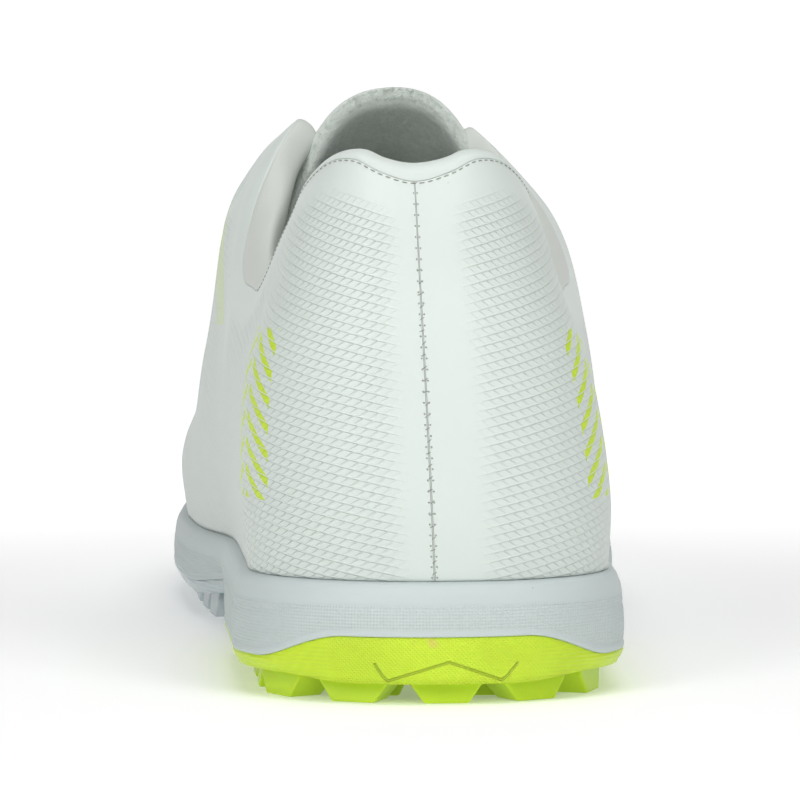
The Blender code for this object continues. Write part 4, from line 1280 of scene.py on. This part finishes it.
def makeMidsole():
    turns = ringTurns(48, 130, 84)
    over, inset = sole["overhang"], sole["archInset"]
    shares = (0.0, 0.015, 0.05, 0.10, 0.17, 0.25, 0.33, 0.39, 0.42, 0.45)
    shares += (0.5, 0.6, 0.7, 0.8, 0.88, 0.92, 0.945, 0.975, 1.0)
    flares = through((0.0, 0.13, 0.38, 0.68, 1.0), np.array([1.0 / over, 0.72, 0.93, 1.03, 1.0]) * over, shares)
    flares[:3] = sole["ledge"] * 0.2, over * 0.30, over * 0.55
    rings = [solePoint(turns, flare, lambda along, turn: soleLine(along) + 0.3) for flare in (-6.0, -0.25)]
    downs = [np.full(len(turns), 0.0)] * 2
    belows = [np.full(len(turns), 9.0)] * 2
    for share, flare in zip(shares, flares):
        def height(along, turn):
            return soleLine(along) + (rubberEdge(along, turn) + midsoleLook["joint"] - soleLine(along)) * share
        flare += midsoleLook["steps"].get(share, 0.0)
        ring = solePoint(turns, flare, height, inset * float(smoothStep((share - 0.4) / 0.6)))
        rings.append(ring)
        along = ring[:, 1] / last["length"]
        downs.append(soleLine(along) - ring[:, 2])
        belows.append(ring[:, 2] - rubberEdge(along, turns) - last["clearance"])
    notch = over - sole["cupWall"]
    seats = ((notch, rubberEdge, midsoleLook["joint"]), (notch - 0.4, rubberFloor, last["clearance"]))
    for flare, seat, gap in seats:
        rings.append(solePoint(turns, flare, lambda along, turn: seat(along, turn) + gap, inset))
    downs += [downs[-1]] * 2
    belows += [belows[-1] * 0] * 2
    points, faces = closeRings(rings)
    around = np.repeat(aroundRing(levelPoint(0, turns, over))[:, None], len(rings), axis=1)
    place = np.stack([around, np.stack(downs, axis=1), np.stack(belows, axis=1)], axis=-1)
    values = {"place": place.reshape(-1, 3)}
    makePiece("foam_midsole", points, faces, midsoleSkin(), "midsole_foam", "midsole", values)


makeMidsole()
print("stage 7: midsole")

rubberLook = {
    "colour": (0.62, 0.83, 0.03),
    # a darker tone for random clouding, also used as painted shade in the moulded groove
    "deep": (0.40, 0.56, 0.02),
    "forefoot": (0.565, 0.635, 0.645),
    "smear": (0.75, 0.50, 0.16),
    "scuff": (0.34, 0.42, 0.06),
    "forefootFrom": (-0.0205, -0.0195),  # metres along the shoe, on its middle line
    "meshStep": 1.05,
    "lineStep": 0.75,
    "meshDepth": 0.14,
    "gapDepth": 0.3,  # how much deeper the gaps between the lugs are moulded
    "backDepth": -0.9,  # the same at the back of the heel
    "groove": ((-10.6, 7.2), (-9.4, 5.2), (-8.4, 4.3), (2.4, 7.6), (12.0, 4.3), (13.2, 5.2), (14.6, 7.2)),
}


def awayFromLine(across, up, start, end):
    spanX, spanY = end[0] - start[0], end[1] - start[1]
    fromX, fromY = across - start[0], up - start[1]
    share = (fromX * spanX + fromY * spanY) / (spanX**2 + spanY**2)
    share = share.larger(0.0).maths("MINIMUM", 1.0)
    return distance(share * -spanX + fromX, share * -spanY + fromY)


def rubberSkin():
    look = newLook("neon rubber", rubberLook["colour"], 0.42, 0.08, 0.35, specular=0.45, subsurface=0.12)
    around, height, wall = readPlace(look)
    left, right = crossed(around, height, rubberLook["meshStep"])
    lines = (height * (2 * math.pi / rubberLook["lineStep"])).wave()
    toSide = abs(around).ease(17.0, 23.0)
    relief = (abs(left).larger(abs(right)) * (1.0 - toSide) + lines * (toSide * 0.5)) * wall
    colour = blend(noise(look, 70.0, 4.0).ease(0.3, 0.7) * 0.3, rubberLook["colour"], rubberLook["deep"])
    x, y, _ = split(look, objectPlace(look))
    forward = (abs(x) * 0.45 + y).ease(*rubberLook["forefootFrom"])
    colour = blend(forward, colour, rubberLook["forefoot"])

    # the moulded groove at the back, with painted shade along it
    corners = rubberLook["groove"]
    near = awayFromLine(around, height, corners[0], corners[1])
    for start, end in zip(corners[1:], corners[2:]):
        near = near.maths("MINIMUM", awayFromLine(around, height, start, end))
    groove = near.ease(0.05, 0.30, 1.0, 0.0) * wall
    # painted shade in the moulded groove
    colour = blend(groove * 0.55, colour, rubberLook["deep"])

    smear = distance((around + 1.2) * 0.45, height - 11.0).ease(0.3, 1.5, 1.0, 0.0)
    colour = blend(smear * noise(look, 380.0, 3.0).ease(0.42, 0.6) * 0.5, colour, rubberLook["smear"])
    scuff = noise(look, 300.0, 4.0, 0.6).ease(0.66, 0.78) * height.ease(5.0, 1.5)
    colour = blend(scuff * 0.35, colour, rubberLook["scuff"])
    grain = noise(look, 900.0, 2.0)
    normal = bump(groove * -4.0 + relief, rubberLook["meshDepth"], bump(grain, 0.02))
    return feed(look, colour=colour, rough=grain * 0.12 + 0.36, normal=normal)


def lugRing(centre, outward, corners, narrow, deep, height, push=0.0):
    across = np.array([-outward[1], outward[0]])
    ring = []
    for sideways, out in corners:
        spot = centre + across * sideways * narrow + outward * (out * deep + push)
        ring.append((spot[0], spot[1], height))
    return ring


def cupFloor(along, turn):
    behind = 1 - smoothStep((np.abs(turn) - 0.05) / 0.07)
    depth = rubberLook["gapDepth"] + (rubberLook["backDepth"] - rubberLook["gapDepth"]) * behind
    return underside(along) + depth


def edgeLugPlaces():
    fine = np.linspace(-1, 1, 801)
    inward = sole["overhang"] - sole["lugMargin"] - sole["lugDepth"] / 2
    rim = solePoint(fine, inward, underside, sole["archInset"])[:, :2]
    run = runLength(rim)
    whole = run[-1]
    count = int(whole / sole["lugPitch"])
    count += count % 2
    places = []
    for spot in (np.interp(0.0, fine, run) + sole["lugShift"] + np.arange(count) * whole / count) % whole:
        way = unit(atRun((spot + 1) % whole, run, rim) - atRun((spot - 1) % whole, run, rim))
        places.append((atRun(spot, run, rim), np.array([-way[1], way[0]])))
    return places


def innerLugPlaces():
    first = 0.075
    places = []
    for row in range(int((0.93 - first) * last["length"] / sole["lugPitch"])):
        along = first + row * sole["lugPitch"] / last["length"]
        if waist(along) > 0.5:
            continue
        turn = np.clip(turnAt(along), last["heelTurn"], last["toeTurn"])
        left = float(levelPoint(0, np.array(-turn))[0])
        right = float(levelPoint(0, np.array(turn))[0])
        if along > last["ballLine"]:
            reach = (along - last["ballLine"]) / last["tipReach"][0]
            shrink = max(1 - reach ** last["toeRound"], 0) ** (1 / last["toeRound"])
            middle = float(sectionValue("ridge", -1, last["ballLine"]))
            left, right = [middle + (side - middle) * shrink for side in (left, right)]
        room = sole["lugMargin"] + sole["lugDepth"] * 1.25
        left += room + sole["archInset"] * float(waist(along))
        right -= room
        count = max(int((right - left) / (sole["lugLength"] * 1.25)) - row % 2, 0)
        for i in range(count):
            places.append(np.array([left + (right - left) * (i + 0.5) / count, along * last["length"]]))
    return places


def makeOutsole():
    turns = ringTurns(56, 130, 84)
    over, inset = sole["overhang"], sole["archInset"]
    lip = over - sole["cupWall"] + last["clearance"]
    shares = np.array([0.0, 0.04, 0.12, 0.25, 0.4, 0.55, 0.7, 0.85, 1.0])
    flares = over * through((0.0, 0.12, 0.5, 1.0), (0.92, 0.99, 0.88, 0.62), shares)
    rings = [solePoint(turns, lip - 0.4, rubberFloor, inset), solePoint(turns, lip, rubberEdge, inset)]
    for share, flare in zip(shares, flares):
        def height(along, turn):
            return rubberEdge(along, turn) + (cupFloor(along, turn) - rubberEdge(along, turn)) * share
        rings.append(solePoint(turns, flare, height, inset))
    rings.append(solePoint(turns, over * 0.62 - 0.8, cupFloor, inset))
    points, faces = closeRings(rings)
    up = len(rings)
    around = aroundRing(levelPoint(0, turns, over)) * np.where(turns < 0, -1, 1)
    around = np.repeat(around[:, None], up, axis=1)
    isWall = np.broadcast_to(((np.arange(up) > 1) & (np.arange(up) < up - 1)).astype(float), around.shape)
    values = {"place": np.stack([around, points[..., 2], isWall], axis=-1).reshape(-1, 3)}
    makePiece("rubber_cup", points, faces, rubber, "outsole_rubber", "outsole", values)


def makeLugs():
    half, deep = sole["lugLength"] / 2, sole["lugDepth"] / 2
    front, point = deep * (1 - 1.1 * 0.28), deep * (1 + 1.1 * 0.15)
    pointed = ((-half, -deep), (half, -deep), (half, front), (0.0, point), (-half, front))
    square = ((-half, -deep), (half, -deep), (half, deep), (-half, deep))
    # each ring: along its row, outward, height above the tip (0) or the cup's floor (1), push outward
    edgeRings = ((0.74, 0.90, 0, 0.0, 0.7), (1.24, 1.08, 1, -0.9, 2.0), (1.14, 1.08, 1, 0.9, 2.5),
                 (0.42, 1.0, 1, 3.4, 2.7), (0.20, 0.9, 1, 4.8, 1.9))
    innerRings = ((0.60, 0.55, 0, 0.0, 0.0), (1.06, 0.92, 1, 0.8, 0.0))
    lugs = [(centre, outward, pointed, edgeRings) for centre, outward in edgeLugPlaces()]
    lugs += [(centre, np.array([0.0, 1.0]), square, innerRings) for centre in innerLugPlaces()]
    points, faces = [], []
    for centre, outward, corners, rings in lugs:
        along = centre[1] / last["length"]
        low = float(lift(along)) + float(sole["waistRise"] * waist(along)) * 0.6
        heights = (low, float(underside(along)))
        faces += tubeFaces(len(rings), len(corners), len(points))
        for narrow, depth, level, above, push in rings:
            points += lugRing(centre, outward, corners, narrow, depth, heights[level] + above, push)
    place = np.tile([60.0, 2.0, 0.0], (len(points), 1))  # away from the mesh, the groove and the smear
    piece = makePiece("rubber_lugs", points, faces, rubber, "outsole_rubber", "outsole", {"place": place})
    flatFaces(piece)
    edge = piece.modifiers.new("soft_edges", "BEVEL")
    edge.width = 0.00035
    edge.segments = 2
    edge.limit_method = "ANGLE"


rubber = rubberSkin()
makeOutsole()
makeLugs()
print("stage 8: outsole")

insoleLook = {
    "colour": (0.42, 0.46, 0.43),
    "shade": (0.34, 0.38, 0.35),
    "thickness": 4.0,
    # steps from its underside over the rounded edge to its top: flare and share of the thickness
    "edge": ((-14.0, 0.86), (-8.0, 0.85), (-5.0, 0.9), (-2.5, 1.0), (-1.0, 1.16),
             (-0.2, 1.3), (0.0, 1.2), (0.0, 0.6), (0.0, 0.08), (-0.4, 0.0)),
}


def makeInsole():
    look = newLook("knitted sock liner", insoleLook["colour"], 0.93, sheen=0.3, specular=0.2)
    knit = noise(look, 1300.0, 3.0, 0.7)
    colour = blend(knit.ease(0.35, 0.65), insoleLook["colour"], insoleLook["shade"])
    feed(look, colour=colour, normal=bump(knit, 0.15))
    turns = ringTurns(30, 80, 50)
    inside = -(last["wall"] + last["clearance"] + 0.6)
    rings = []
    for flare, share in insoleLook["edge"]:
        def height(along, turn):
            return soleLine(along) + last["clearance"] + insoleLook["thickness"] * share
        rings.append(solePoint(turns, inside + flare, height))
    makePiece("sock_liner", *closeRings(rings), look, "insole_cloth", "insole")


makeInsole()
print("stage 9: insole")

studio = {
    "cameraPlace": (-0.0458, -1.0446, 0.1105),
    "aim": (0.04399, 1.0, -0.06403),
    "lens": 239.0,
    "floorColour": (0.93, 0.93, 0.93),
    "floorGlow": (-0.02, 0.42, 0.19, 0.62),  # from place to place, and from strength to strength
    "world": 0.22,
    "lightTarget": (0, -0.12, 0.05),
    "lights": (  # name, place, size and power
        ("top_softbox", (0.1, -0.55, 1.1), 0.9, 6.1),
        ("right_softbox", (0.42, -0.8, 0.42), 0.4, 1.6),
        ("left_softbox", (-0.5, -0.8, 0.45), 0.4, 2.6),
    ),
    "sweepHalf": 3.2,
    "sweep": (  # place and height of each step of the backdrop
        (-3.0, 0.0), (-1.5, 0.0), (-0.7, 0.0), (0.0, 0.0), (0.4, 0.0), (0.7, 0.0), (1.8, 0.0),
        (2.5, 0.02), (2.8, 0.10), (3.0, 0.27), (3.15, 0.55), (3.19, 0.95), (3.2, 2.4),
    ),
}


def makeFloor():
    look = newLook("plain floor", studio["floorColour"], 0.8, specular=0.2)
    look.node_tree.nodes["Principled BSDF"].inputs["Emission Color"].default_value = (1, 1, 1, 1)
    _, back, _ = split(look, objectPlace(look))
    feed(look, glow=back.ease(*studio["floorGlow"]))
    half = studio["sweepHalf"]
    points = [(x, y, z) for y, z in studio["sweep"] for x in (-half, half)]
    faces = [(2 * i, 2 * i + 1, 2 * i + 3, 2 * i + 2) for i in range(len(studio["sweep"]) - 1)]
    mesh = bpy.data.meshes.new("floor_sweep")
    mesh.from_pydata(points, [], faces)
    mesh.materials.append(look)
    mesh.shade_smooth()
    floor = addObject("floor_sweep", mesh)
    subdivided(floor, 2)


def makeLight(name, place, size, power):
    light = bpy.data.lights.new(name, "AREA")
    light.shape = "RECTANGLE"
    light.size = light.size_y = size
    light.energy = power
    lamp = addObject(name, light)
    lamp.location = place
    lamp.rotation_euler = (Vector(studio["lightTarget"]) - Vector(place)).to_track_quat("-Z", "Y").to_euler()


def makeStudio():
    makeFloor()
    world = bpy.data.worlds.new("studio")
    bpy.context.scene.world = world
    world.use_nodes = True
    sky = world.node_tree.nodes["Background"]
    sky.inputs["Color"].default_value = (1.0, 1.0, 1.0, 1.0)
    sky.inputs["Strength"].default_value = studio["world"]
    for light in studio["lights"]:
        makeLight(*light)
    data = bpy.data.cameras.new("camera")
    data.sensor_width = 36.0
    data.lens = studio["lens"]
    data.clip_start = 0.05
    camera = addObject("camera", data)
    camera.location = studio["cameraPlace"]
    camera.rotation_euler = Vector(studio["aim"]).to_track_quat("-Z", "Y").to_euler()
    bpy.context.scene.camera = camera
    bpy.context.scene.view_settings.view_transform = "Standard"


makeStudio()
print("stage 10: studio")
